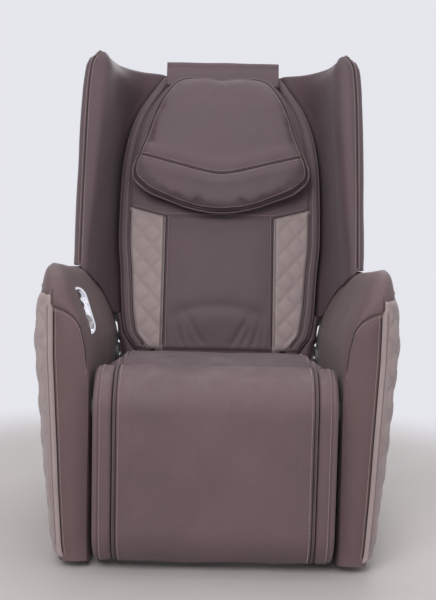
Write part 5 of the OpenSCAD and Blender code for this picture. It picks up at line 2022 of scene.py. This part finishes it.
@dataclass
class HeadPillow:
    """Head pillow that hangs from a strap over the back's top edge."""

    height: float = 0.3595
    hinge_u: float = 0.7248
    drop: float = 0.0388
    rest_n: float = 0.0606
    thick: float = 0.052
    border: float = 0.0125
    strap_half: float = 0.1385
    strap: float = 0.005

    def outline(self) -> Array:
        """Closed outline (x, u) of the pillow.

        Returns:
            The points of the outline, in order.
        """
        tab = [(0, 0), (0, .075), (.004, .100), (.012, .118), (.025, .131), (.045, .146), (.067, .159),
               (.105, .176), (.150, .190), (.190, .204), (.219, .2135), (.240, .219), (.255, .2195),
               (.270, .2165), (.284, .206), (.300, .188), (.3105, .172), (.3286, .131), (.345, .088),
               (.3535, .054), (.359, .020), (.3595, 0)]
        top = self.hinge_u - self.drop
        half = spaced(spline([(x, top - v) for v, x in tab], 6), 90)
        return np.vstack([half, (half * np.array([-1, 1]))[::-1][1:-1]])

    def build(self, shop: Workshop) -> None:
        """Builds the pillow by inflating its sewn form, then its seams, piping and strap.

        Args:
            shop: The chair's finishes.
        """
        ring = self.outline()
        centre = np.array([0, self.hinge_u - self.drop - self.height * .52])
        skin, rows = Skin(), []
        for shrink, n in ((.16, .004), (.05, .0045), (.012, .007), (.0, .014), (.0, .021), (.012, .029),
                          (.05, .035), (.12, .039), (.25, .042), (.45, .0445), (.7, .046), (.9, .0465)):
            q = centre + (ring - centre) * (1 - shrink)
            rows.append(skin.add(BACK.at(q[:, 0], self.rest_n + n, q[:, 1])))
        skin.join(np.array(rows), wrap=True, flip=True)
        skin.fan(rows[0])
        skin.fan(rows[-1], flip=True)
        obj = skin.make("head_pillow_cover", shop.cushion)
        inflate(obj, .0050, 4.0, .010, lambda p: self.hold(p, ring))
        self.sew(obj, ring)
        carry("pillow", Slot.BROWN, obj, *self.trims(obj, ring, shop))
        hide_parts("head_pillow")
        self.build_strap(shop)
        LOG.info("head pillow and its strap")

    def hold(self, p: Array, ring: Array) -> Array:
        """Keeps the swollen form clear of the cushion behind it and within its outline.

        Args:
            p: World points.
            ring: Outline (x, u).

        Returns:
            The points, moved where they were outside.
        """
        q = BACK.local(p)
        q[:, 1] = np.clip(q[:, 1], self.rest_n + .0004, self.rest_n + self.thick + .004)
        mid = np.array([0, ring[:, 1].mean()])
        ang = np.arctan2(ring[:, 1] - mid[1], ring[:, 0])
        rad = np.hypot(ring[:, 0], ring[:, 1] - mid[1])
        o = np.argsort(ang)
        a = np.arctan2(q[:, 2] - mid[1], q[:, 0])
        r = np.hypot(q[:, 0], q[:, 2] - mid[1])
        lim = np.interp(a, ang[o], rad[o], period=2 * np.pi) + .0025
        k = np.minimum(1, lim / np.maximum(r, 1e-9))
        q[:, 0] *= k
        q[:, 2] = mid[1] + (q[:, 2] - mid[1]) * k
        return BACK.world(q)

    def cross_u(self, x: Array) -> Array:
        """Height of the curved cross seam."""
        k = np.clip(np.abs(x) / .2, 0, 1)
        return .4255 + .057 * (np.sqrt(k * k + .0225) - .15)

    def inset(self, q: Array, ring: Array) -> Array:
        """Distance of points (x, n, u) inside the outline.

        Args:
            q: Local points (x, n, u).
            ring: Outline (x, u).

        Returns:
            One distance for each point.
        """
        closed = np.vstack([ring, ring[:1]])
        fine = spaced(closed, 400)
        d = np.full(len(q), 9.0)
        for k in range(0, len(q), 4000):
            s = q[k : k + 4000, [0, 2]]
            d[k : k + 4000] = np.sqrt(((s[:, None] - fine[None]) ** 2).sum(2)).min(1)
        return d

    def sew(self, obj: Object, ring: Array) -> None:
        """Presses the border seam and the cross seam into the front.

        Args:
            obj: The stuffed pillow.
            ring: Outline (x, u).
        """
        p, n = coords(obj), vertex_normals(obj)
        q = BACK.local(p)
        front = smooth(q[:, 1], self.rest_n + .022, self.rest_n + .030)
        d = self.inset(q, ring)
        press = .0036 * bump(d - self.border, .0034) * front
        inside = smooth(d, self.border - .004, self.border + .004) * front
        over = q[:, 2] - self.cross_u(q[:, 0])
        press = press + .0036 * bump(over, .0036) * inside
        puff = .0030 * (bump(over - .020, .018) + bump(over + .020, .018)) * inside
        folds = .0010 * ripple(p, .055, 1.3) * inside
        for cx, cu, lean, size in ((-.020, .620, .8, .0007), (.100, .520, -1.1, .0006)):
            line = (q[:, 0] - cx) - (q[:, 2] - cu) * lean
            folds = folds - size * bump(line, .006) * bump(q[:, 2] - cu, .05) * inside
        shift = puff + folds - press
        q2 = BACK.local(p + n * shift[:, None])
        q2[:, 1] = np.maximum(q2[:, 1], self.rest_n + .0004)
        set_coords(obj, BACK.world(q2))

    def trims(self, obj: Object, ring: Array, shop: Workshop) -> list[Object]:
        """Piping round the pillow and stitches along its seams.

        Args:
            obj: The finished piece that they lie on.
            ring: Outline (x, u).
            shop: The chair's finishes.

        Returns:
            Piping, flap, dark cords of painted seam shade, and stitches.
        """
        surface = Surface(obj)
        cords, dark, fold = Skin(), Skin(), Skin()
        path = spaced(np.vstack([ring, ring[:1]]), 261)[:-1]
        mid = np.array([0, ring[:, 1].mean()])
        rim = mid + (path - mid) * 1.002
        hit, _ = surface.near(BACK.at(rim[:, 0], self.rest_n + .026, rim[:, 1]), .0006)
        cords.tube(hit, .0026, closed=True)
        t = unit(np.roll(path, -1, 0) - np.roll(path, 1, 0))
        inward = points(t[:, 1], -t[:, 0])
        if ((mid - path) * inward).sum(1).mean() < 0:
            inward = -inward
        for off in (self.border - .005, self.border, self.border + .006):
            s = path + inward * off
            s = np.vstack([s, s[:1]])
            hit, nor = surface.drop(BACK.at(s[:, 0], .15, s[:, 1]), -BACK.face, .0002)
            # the border seam itself gets a dark cord of painted shade
            if off == self.border:
                fold.tube(hit[:-1], .0012, 6, closed=True)
                continue
            dark.stitches(hit, nor)
        x = np.linspace(-.186, .186, 100)
        for off in (-.005, .0055):
            surface.sew(dark, BACK.at(x, .15, self.cross_u(x) + off), -BACK.face)
        # dark cord of painted shade in the cross seam
        surface.press(fold, BACK.at(x, .15, self.cross_u(x)), -BACK.face, .0009, .0002)
        return [cords.make("head_pillow_piping", shop.cord), self.flap(shop),
                fold.make("head_pillow_seam_shadow", shop.fold),
                dark.make("head_pillow_stitches", shop.dark_thread)]

    def flap(self, shop: Workshop) -> Object:
        """Flap that carries the pillow from the strap's front edge, with its rolled top.

        Args:
            shop: The chair's finishes.

        Returns:
            The flap.
        """
        n = self.rest_n
        side = spline([(n + .004, -.060), (n + .0045, -.030), (n + .0040, -.012), (n + .0052, -.004),
                       (n + .0038, .0022), (n + .0006, .0026), (n - .0004, .0), (n + .0002, -.004),
                       (n + .0002, -.030), (n + .0002, -.060)], 5)
        return self.ribbon(side + np.array([0, self.hinge_u]), self.strap_half, "head_pillow_flap", shop)

    def ribbon(self, side: Array, half: float, name: str, shop: Workshop) -> Object:
        """Flat leather strap with eased edges, from its closed outline (n, u) seen from the side.

        Args:
            side: Closed outline (n, u), seen from the side.
            half: Half its width.
            name: The piece's name.
            shop: The chair's finishes.

        Returns:
            The strap.
        """
        xs = half * np.r_[-1, -.992, -.975, np.linspace(-.95, .95, 60), .975, .992, 1]
        mid = (side + side[::-1]) / 2
        rows = []
        for x in xs:
            k = math.sqrt(max(0.0, 1 - max(0.0, (abs(x) - half * .975) / (half * .025)) ** 2))
            w = mid + (side - mid) * (.25 + .75 * k)
            rows.append(points(x, w[:, 0], w[:, 1]))
        p = np.array(rows)
        p[..., 2] += .0007 * np.sin(p[..., 0] * 43 + 1) * np.cos(p[..., 0] * 17) * (p[..., 1] > 0)
        skin = Skin()
        i = skin.grid(BACK.world(p), wrap=True)
        skin.fan(i[0], flip=True)
        skin.fan(i[-1])
        return skin.make(name, shop.cushion)

    def build_strap(self, shop: Workshop) -> None:
        """Strap over the back's top edge, stitched along its borders.

        Args:
            shop: The chair's finishes.
        """
        u0, t, front, rear = .7223, self.strap, self.rest_n - .0010, -.1153
        outer = [(front + .0002, u0 + .0008), (front + .0002, u0 + t - .0012), (front - .002, u0 + t)]
        outer += [(n, u0 + t) for n in np.linspace(front - .006, rear + .012, 18)]
        outer += [(rear + .004, u0 + t - .0008), (rear - t + .0035, u0 + t - .004), (rear - t, u0 - .004)]
        outer += [(rear - t, u) for u in np.linspace(u0 - .012, .6180, 12)] + [(rear - t + .001, .6170)]
        inner = [(rear - .001, .6170), (rear - .0003, .6180)]
        inner += [(rear - .0003, u) for u in np.linspace(.630, u0 - .004, 10)]
        inner += [(n, u0 + .0002) for n in np.linspace(rear + .001, front - .004, 18)]
        side = np.array(outer + inner)
        xs = self.strap_half * np.r_[-1, -.994, np.linspace(-.98, .98, 50), .994, 1]
        skin = Skin()
        i = skin.grid(np.array([BACK.at(x, side[:, 0], side[:, 1]) for x in xs]), wrap=True)
        for ring, flip in ((i[0], True), (i[-1], False)):
            a, b = ring[: len(outer)], ring[len(outer) :][::-1]
            b = b[np.linspace(0, len(b) - 1, len(a)).round().astype(int)]
            for k in range(len(a) - 1):
                f = list(dict.fromkeys(int(v) for v in (a[k], a[k + 1], b[k + 1], b[k])))
                if len(f) > 2:
                    skin.faces.append(tuple(f[::-1] if flip else f))
        obj = skin.make("pillow_strap_leather", shop.cushion)
        surface = Surface(obj)
        dark = Skin()
        n = np.linspace(front - .008, rear + .008, 80)
        for x in (-self.strap_half + .007, self.strap_half - .007):
            surface.sew(dark, BACK.at(x, n, .80), BACK.down, .0003)
        x = np.linspace(-self.strap_half + .01, self.strap_half - .01, 120)
        for u in (.628, .634):
            surface.sew(dark, BACK.at(x, -.2, u), BACK.face, .0003)
        carry("backrest", Slot.BROWN, obj, dark.make("pillow_strap_stitches", shop.dark_thread))
        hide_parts("pillow_strap")


# ---------------------------------------------------------------- seat


@dataclass
class Seat:
    """Seat cushion between the armrests, with a centre panel between two seams."""

    half: float = 0.2335
    room: float = 0.2395
    low: float = 0.2963
    high: float = 0.3895
    rear: float = 0.0668
    seam_x: float = 0.196
    swing_r: float = 0.197
    swing_at: tuple[float, float] = (-0.388, 0.201)

    def slant(self, z: Array) -> Array:
        """y of the front, which leans over the leg unit's swing."""
        return self.swing_at[0] + (self.swing_r - (z - self.swing_at[1]) * .7157) / .6984

    def side(self) -> Array:
        """Closed outline (y, z) of the cushion before it is stuffed.

        Returns:
            The points of the outline, in order.
        """
        low = self.low + .004
        return spline([(self.slant(low) + .006, low), (self.slant(.33) + .006, .33),
                       (self.slant(.372) + .006, .370), (-.276, .379), (-.250, .381), (-.150, .368),
                       (-.050, .357), (.036, .344), (.056, .335), (.058, .318), (.054, low),
                       (-.08, low), (self.slant(low) + .006, low)], 6)[:-1]

    def build(self, shop: Workshop) -> None:
        """Builds the cushion, its seams and its piping.

        Args:
            shop: The chair's finishes.
        """
        ring = self.side()
        mid = ring.mean(0)
        skin, rows = Skin(), []
        xs = self.half * np.r_[-.985, -.955, np.linspace(-.9, .9, 23), .955, .985]
        for x in xs:
            k = 1 - .05 * max(0.0, (abs(x) / self.half - .94) / .045)
            q = mid + (ring - mid) * k
            rows.append(skin.add(points(x, q[:, 0], q[:, 1])))
        skin.join(np.array(rows), wrap=True)
        skin.fan(rows[0], flip=True)
        skin.fan(rows[-1])
        obj = skin.make("seat_cushion_cover", shop.cushion)
        inflate(obj, .0055, 4.0, .012, self.hold)
        p, n = coords(obj), vertex_normals(obj)
        up = smooth(n[:, 2], .2, .7)
        press = (.0040 * bump(np.abs(p[:, 0]) - self.seam_x, .0042)
                 * np.maximum(up, smooth(-n[:, 1], .3, .8)))
        fold = .0016 * ripple(p, .075, 2.6) * up
        set_coords(obj, self.hold(p + n * (fold - press)[:, None]))
        carry("base", Slot.BROWN, obj, *self.trims(obj, shop))
        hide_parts("seat_cushion")
        LOG.info("seat cushion")

    def hold(self, p: Array) -> Array:
        """Keeps the stuffed form between the armrests, on its pan and off the leg unit's swing.

        Args:
            p: World points.

        Returns:
            The points, moved where they were outside.
        """
        q = p.copy()
        q[:, 0] = np.clip(q[:, 0], -self.room, self.room)
        q[:, 2] = np.clip(q[:, 2], self.low, self.high)
        q[:, 1] = np.maximum(q[:, 1], self.slant(q[:, 2]) + .0004)
        q[:, 1] = np.minimum(q[:, 1], self.rear)
        return q

    def trims(self, obj: Object, shop: Workshop) -> list[Object]:
        """Stitches beside both seams and a piping along the front edge.

        Args:
            obj: The finished piece that they lie on.
            shop: The chair's finishes.

        Returns:
            Piping and stitches.
        """
        surface = Surface(obj)
        cords, dark = Skin(), Skin()
        y = np.linspace(-.268, .03, 90)
        for s in (-1, 1):
            for off in (-.0060, .0060):
                surface.sew(dark, points(s * (self.seam_x + off), y, .5), np.array([0, 0, -1]))
        front = points(np.linspace(-.226, .226, 80), float(self.slant(.378)) - .004, .381)
        cords.tube(surface.near(front, .0002)[0], .0024)
        return [cords.make("seat_cushion_piping", shop.cord),
                dark.make("seat_cushion_stitches", shop.dark_thread)]


# ---------------------------------------------------------------- leg rest


@dataclass
class LegRest:
    """Leg rest: a padded unit with two calf channels, held between two padded arms."""

    y: float = -0.390
    radius: float = 0.080
    high: float = 0.3155
    low: float = 0.090
    half: float = 0.194
    arm: tuple[float, float] = (0.1966, 0.2335)
    channel_x: float = 0.094
    channel_w: float = 0.128
    channel_depth: float = 0.058
    channel_top: float = 0.346
    lining: float = 0.006
    row_x: float = 0.1835
    fold_x: float = 0.1885

    def loop(self, step: float, radius: float, ends: Sequence[float] = ()) -> Array:
        """Stadium outline (y, z), from the rear's foot up, over the top and round.

        Args:
            step: Distance between points.
            radius: Radius of its round ends.
            ends: Heights on the rear that get extra points close together.

        Returns:
            Points of the closed outline, the first not repeated.
        """
        z = np.linspace(self.low, self.high, int((self.high - self.low) / step) + 1)
        a = np.linspace(0, np.pi, int(np.pi * radius / step) + 1)
        rear = points(self.y + radius, z)
        top = points(self.y + radius * np.cos(a), self.high + radius * np.sin(a))
        front = points(self.y - radius, z[::-1])
        foot = points(self.y - radius * np.cos(a), self.low - radius * np.sin(a))
        out = np.vstack([rear, top[1:-1], front, foot[1:-1]])
        if not len(ends):
            return out
        over = np.maximum(np.array(ends) - self.high, 0) / radius
        extra = points(self.y + radius * np.sqrt(1 - over * over), ends)
        k = int(np.argmax(out[:, 1]))
        head = np.vstack([out[:k], extra])
        return np.vstack([head[np.argsort(head[:, 1])], out[k:]])

    def ring(self) -> tuple[Array, Array]:
        """The outline (y, z) in even steps, and its outward unit vectors."""
        loop = self.loop(.006, self.radius)
        return loop, unit(loop - points(self.y, np.clip(loop[:, 1], self.low, self.high)))

    def across(self, x0: float, grow: float, steps: int) -> Array:
        """Section (x, y) of one channel's wall and floor, drawn in by grow.

        Args:
            x0: The channel's middle.
            grow: How far the section is drawn in.
            steps: Points in its rounded part.

        Returns:
            The section, left to right.
        """
        w, b = self.channel_w / 2 - grow, self.channel_depth - grow
        y0 = self.y + self.radius
        a = np.linspace(0, np.pi, steps)
        arc = points(x0 - w * np.cos(a), y0 - b / 2 - b / 2 * np.sin(a) ** .8)
        lip = [(x0 - w - .0006, y0 - .0008), (x0 - w, y0 - .004), (x0 - w, y0 - b * .25)]
        return np.vstack([lip, arc, [(2 * x0 - x, y) for x, y in lip[::-1]]])

    def pad(self, shop: Workshop) -> Object:
        """The padded unit with both channels.

        Args:
            shop: The chair's finishes.

        Returns:
            The unit.
        """
        y0 = self.y + self.radius
        left = self.across(-self.channel_x, 0, 40)
        right = self.across(self.channel_x, 0, 40)
        line = np.vstack([
            [(-self.half, y0 - .006), (-self.half + .0012, y0 - .0022), (-self.half + .004, y0)],
            [(x, y0) for x in np.linspace(-self.half + .010, left[0, 0] - .004, 5)], left,
            [(x, y0) for x in np.linspace(left[-1, 0] + .003, right[0, 0] - .003, 12)], right,
            [(x, y0) for x in np.linspace(right[-1, 0] + .004, self.half - .010, 5)],
            [(self.half - .004, y0), (self.half - .0012, y0 - .0022), (self.half, y0 - .006)]])
        t = self.channel_top
        close = (-.012, -.006, -.003, -.0012, -.0002, .0008, .003)
        loop = self.loop(.0062, self.radius, [t + c for c in close])
        depth = y0 - line[:, 1]
        edge = np.minimum(np.abs(line[:, 0] + self.half), np.abs(line[:, 0] - self.half))
        rim = .0065 * (1 - np.sqrt(np.clip(1 - (1 - np.clip(edge / .004, 0, 1)) ** 2, 0, 1)))
        off_axis = np.abs(np.abs(line[:, 0]) - self.channel_x)
        in_channel = (depth > .0004) & (off_axis < self.channel_w / 2 + .001)
        rows = []
        for ys, zs in loop:
            mid_z = min(max(zs, self.low), self.high)
            out = unit(np.array([ys - self.y, zs - mid_z]))
            yy = ys - out[0] * rim
            if ys > self.y and zs < t:
                cut = np.clip((t - zs) / .0012, 0, 1)
                yy = np.where(in_channel, np.minimum(yy, y0 - depth * cut - .0004), yy)
            rows.append(points(line[:, 0], yy, zs - out[1] * rim))
        p = np.array(rows)
        n = normals_of(p)
        k = len(loop) * 5 // 8
        if n[k, 60, 1] > 0:
            n = -n
        front = np.clip(smooth(self.y - p[..., 1], -.02, .03) + smooth(p[..., 2], .35, .38), 0, 1)
        seam = np.abs(np.abs(p[..., 0]) - .1872)
        swell = (.0016 * ripple(p, .13, 3.3) + .0010 * ripple(p, .05, 6.1)) * front
        swell += .0028 * front * (1 - (p[..., 0] / self.half) ** 4)
        swell -= .0014 * bump(seam, .0016) * front
        p = p + n * swell[..., None]
        skin = Skin()
        i = skin.grid(p)
        skin.join(np.stack([i[-1], i[0]]))
        for column, sign in ((0, -1), (-1, 1)):
            ring, end = p[:, column], [i[:, column]]
            for s in (.25, .6):
                q = mix(ring, np.array([0, self.y, .201]), s)
                q[:, 2] = mix(ring[:, 2], np.clip(ring[:, 2], self.low + .01, self.high - .01), s)
                q[:, 1] = mix(ring[:, 1], self.y, s)
                q[:, 0] = sign * self.half
                end.append(skin.add(q))
            skin.join(np.array(end), wrap=True, flip=sign < 0)
            skin.fan(end[-1], flip=sign > 0)
        return skin.make("calf_pad_leather", shop.leg)

    def channel(self, side: Side, shop: Workshop) -> Object:
        """Quilted lining of one channel.

        Args:
            side: Which of the two channels.
            shop: The chair's finishes.

        Returns:
            The lining.
        """
        x0 = side.value * self.channel_x
        per = 10
        floor = self.across(x0, self.lining, 65)[3:-3]
        wall = self.across(x0, .0006, 65)[3:-3]
        across = spaced(floor, per * 6 + 1)
        behind = spaced(wall, per * 6 + 1)
        z = np.linspace(self.low - .062, self.channel_top - self.lining, per * 10 + 1)
        i, j = np.meshgrid(np.arange(len(across)), np.arange(len(z)))
        a, b = (i + j) / per, (i - j) / per
        p = points(across[i, 0], across[i, 1], z[j])
        q = points(behind[i, 0], behind[i, 1], z[j])
        n = normals_of(p)
        if n[30, 30, 1] < 0:
            n = -n
        edge = np.minimum.reduce([i, len(across) - 1 - i, j, len(z) - 1 - j]) / per
        p = p + n * (.0030 * diamonds(a, b) * smooth(edge, .05, .4) - .0010)[..., None]
        below = np.minimum(z - self.low, 0)
        low = self.y + np.sqrt(np.maximum((self.radius - .002) ** 2 - below ** 2, 1e-6))
        p[..., 1] = np.minimum(p[..., 1], low[:, None])
        q[..., 1] = np.minimum(q[..., 1], low[:, None] - .0004)
        skin = Skin()
        f = skin.grid(p)
        r = skin.grid(q, flip=True)
        for e in ((f[0], r[0]), (r[-1], f[-1]), (r[:, 0], f[:, 0]), (f[:, -1], r[:, -1])):
            skin.join(np.stack(e), flip=True)
        quilt = np.zeros((skin.total, 3))
        quilt[: a.size, 0], quilt[: a.size, 1] = a.ravel(), b.ravel()
        quilt[a.size :, :2] = .5
        return skin.make(f"calf_lining_{side.word}_quilt", shop.quilt, values={"quilt": quilt})

    def arm_pad(self, side: Side, shop: Workshop) -> list[Object]:
        """One padded arm with its stitch row.

        Args:
            side: Which of the two arms.
            shop: The chair's finishes.

        Returns:
            The arm and its stitches.
        """
        s = side.value
        x0, x1 = self.arm
        loop, out = self.ring()
        plan = [(x0, .060), (x0, .030), (x0, .010), (x0 + .0008, .0035), (x0 + .0030, .0008),
                (x0 + .0065, -.0004), (x0 + .012, -.0012), (x1 - .0145, -.0010), (x1 - .0120, .0002),
                (x1 - .0110, .0016), (x1 - .0100, .0004), (x1 - .0075, -.0002), (x1 - .0040, .0016),
                (x1 - .0012, .0048), (x1 + .0002, .0100), (x1 + .0008, .030), (x1 + .0008, .060)]
        skin, rows = Skin(), []
        for x, inset in plan:
            q = loop - out * inset
            w = points(s * x, q[:, 0], q[:, 1])
            w[:, 1:] += out * (.0007 * ripple(w, .06, 2.0 + s))[:, None] * (inset < .009)
            rows.append(skin.add(w))
        skin.join(np.array(rows), wrap=True, flip=s < 0)
        skin.fan(rows[0], flip=s > 0)
        skin.fan(rows[-1], flip=s < 0)
        obj = skin.make(f"leg_arm_{side.word}_leather", shop.leg)
        dark = Skin()
        wide = np.vstack([out, out[:1]])
        q = np.vstack([loop, loop[:1]]) + wide * .03
        start = points(s * (x1 - .0145), q[:, 0], q[:, 1])
        Surface(obj).sew(dark, start, points(0, -wide[:, 0], -wide[:, 1]))
        row = dark.make(f"leg_arm_{side.word}_stitches", shop.dark_thread)
        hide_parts(f"leg_arm_{side.word}")
        return [obj, row]

    def trims(self, obj: Object, shop: Workshop) -> list[Object]:
        """Piping round both ends of the padded unit, and stitches beside it.

        Args:
            obj: The finished piece that they lie on.
            shop: The chair's finishes.

        Returns:
            Piping, stitches and dark cords of painted seam shade.
        """
        surface, cords, dark, fold = Surface(obj), Skin(), Skin(), Skin()
        loop, out = self.ring()
        lip = loop - out * .0016
        k = np.roll(np.arange(len(loop)), -len(loop) // 4)
        k = k[(loop + out * .03)[k, 0] < self.y + .035]
        y, z = (loop + out * .03)[k].T
        inward = points(0, -out[k, 0], -out[k, 1])
        for s in (-1, 1):
            cords.tube(points(s * (self.half - .0006), lip[:, 0], lip[:, 1]), .0019, closed=True)
            surface.sew(dark, points(s * self.row_x, y, z), inward)
            # dark cord of painted shade in the side seam's groove
            surface.press(fold, points(s * self.fold_x, y, z), inward, .0012)
        return [cords.make("calf_pad_piping", shop.cord), dark.make("calf_pad_stitches", shop.dark_thread),
                fold.make("calf_pad_seam_shadow", shop.fold)]

    def build(self, shop: Workshop) -> None:
        """Builds the unit, its linings and its arms.

        Args:
            shop: The chair's finishes.
        """
        pad = self.pad(shop)
        carry("calf_unit", Slot.BROWN, pad, *self.trims(pad, shop))
        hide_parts("calf_pad", "calf_core")
        for side in Side:
            lining = self.channel(side, shop)
            carry("calf_unit", Slot.QUILT, lining)
            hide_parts(f"calf_lining_{side.word}")
            carry("leg_rest_arms", Slot.BROWN, *self.arm_pad(side, shop))
        LOG.info("leg rest")


# ---------------------------------------------------------------- carried-over parts


@dataclass
class Mechanism:
    """The rigid parts that are kept as they are, dressed by their slot."""

    edge: float = 0.0008
    sharp: frozenset[str] = frozenset({"controller_dial", "actuator_rod"})

    def dress(self, shop: Workshop) -> None:
        """Gives each node its finish, and rounds the edges that catch light.

        Args:
            shop: The chair's finishes.
        """
        count = 0
        for row in frame["record"]["subparts"]:
            name = row["node"]
            obj = frame["nodes"][name]
            obj.data.materials.clear()
            obj.data.materials.append(shop.slots[Slot(row["material_slot"])])
            count += 1
            if name in self.sharp:
                continue
            m = obj.modifiers.new("eased_edges", "BEVEL")
            m.width, m.segments, m.limit_method = self.edge, 2, "ANGLE"
            m.angle_limit = math.radians(38)
        LOG.info("%d nodes dressed", count)


# ---------------------------------------------------------------- studio


@dataclass
class Studio:
    """Pale floor, soft lamps and the camera."""

    eye: tuple[float, float, float] = (0.0, -2.564, 0.784)
    pitch: float = 6.69
    roll: float = 1.23
    lens: float = 67.8
    floor: Rgb = (205, 201, 200)
    sky: Rgb = (230, 230, 237)
    fade: tuple[float, float] = (0.75, 1.25)

    def camera(self) -> None:
        """Places the camera, slightly above seat height and looking a little down."""
        data = bpy.data.cameras.new("camera")
        data.lens = self.lens
        data.sensor_width = 36
        obj = bpy.data.objects.new("camera", data)
        bpy.context.scene.collection.objects.link(obj)
        obj.location = self.eye
        down = Matrix.Rotation(math.radians(90 - self.pitch), 4, "X")
        tilt = Matrix.Rotation(math.radians(self.roll), 4, "Z")
        obj.matrix_world = Matrix.Translation(Vector(self.eye)) @ down @ tilt
        bpy.context.scene.camera = obj

    def ground(self) -> None:
        """Large pale floor."""
        skin = Skin()
        r = np.array([.05, .6, 1.2, 2.5, 5, 9])
        a = np.linspace(0, 2 * np.pi, 49)[:-1]
        p = np.stack([r[:, None] * np.cos(a), r[:, None] * np.sin(a), np.full((len(r), len(a)), -.0005)], -1)
        i = skin.grid(p, wrap=True)
        skin.fan(i[0])
        mat, g, shader = Finish("pale_floor", self.floor, 0.55).start()
        grain = g.node("TexNoise", {"Vector": where(g), "Scale": 3.0, "Detail": 6.0}).outputs["Fac"]
        g.feed(g.blend(g.ramp(grain, .3, .7), linear(self.floor), linear(tuple(c + 5 for c in self.floor))),
               shader.inputs["Base Color"])
        shader.inputs["Roughness"].default_value = 0.6
        # the far floor fades into the pale surroundings for the camera and for reflections
        x, y, _ = g.node("SeparateXYZ", {"Vector": where(g)}).outputs
        far = g.math("SQRT", g.plus(g.times(x, x), g.times(y, y)))
        glow = g.node("Emission", {"Color": linear(self.sky), "Strength": 1.0})
        g.mix_output(g.times(g.ramp(far, *self.fade), g.seen()), shader, glow, "OUTPUT_MATERIAL")
        obj = skin.make("studio_floor", mat)

    def world(self) -> None:
        """Pale surroundings that the camera and reflections see, with a plain level of light."""
        w = bpy.data.worlds.new("studio")
        bpy.context.scene.world = w
        w.use_nodes = True
        g = Graph(w.node_tree)
        back = next(n for n in w.node_tree.nodes if n.type == "BACKGROUND")
        back.inputs["Color"].default_value = linear((240, 240, 243))
        back.inputs["Strength"].default_value = 0.42
        shown = g.node("Background", {"Color": linear(self.sky), "Strength": 1.0})
        g.mix_output(g.seen(), back, shown, "OUTPUT_WORLD")

    def lamp(self, name: str, at: tuple[float, float, float], size: float, watts: float,
             colour: Rgb = (255, 252, 250)) -> None:
        """One soft square lamp that faces the chair.

        Args:
            name: The lamp's name.
            at: Its place.
            size: Length of its side.
            watts: Its power.
            colour: Its colour in sRGB.
        """
        data = bpy.data.lights.new(name, "AREA")
        data.size, data.energy = size, watts
        data.color = linear(colour)[:3]
        obj = bpy.data.objects.new(name, data)
        bpy.context.scene.collection.objects.link(obj)
        obj.location = at
        aim = Vector((0, 0, .45)) - Vector(at)
        obj.rotation_euler = aim.to_track_quat("-Z", "Y").to_euler()

    def build(self) -> None:
        """Sets the whole studio up."""
        self.camera()
        self.ground()
        self.world()
        self.lamp("key", (-1.0, -3.0, 2.6), 2.0, 62)
        self.lamp("fill", (2.0, -2.6, 1.4), 2.6, 9.5)
        self.lamp("top", (0.2, 0.1, 3.4), 2.2, 26)
        self.lamp("rear", (0.6, 3.0, 2.2), 2.0, 26)
        bpy.context.scene.view_settings.view_transform = "Standard"
        LOG.info("studio")


def main() -> None:
    """Builds the chair piece by piece."""
    logging.basicConfig(level=logging.INFO, format="%(name)s: %(message)s")
    Studio().build()
    shop = Workshop()
    Mechanism().dress(shop)
    for side in Side:
        arm = Armrest(side)
        arm.build(shop)
        Wing(side, arm).build(shop)
    BackCushion().build(shop)
    HeadPillow().build(shop)
    Seat().build(shop)
    LegRest().build(shop)
    bpy.context.view_layer.update()


if __name__ == "__main__":
    main()
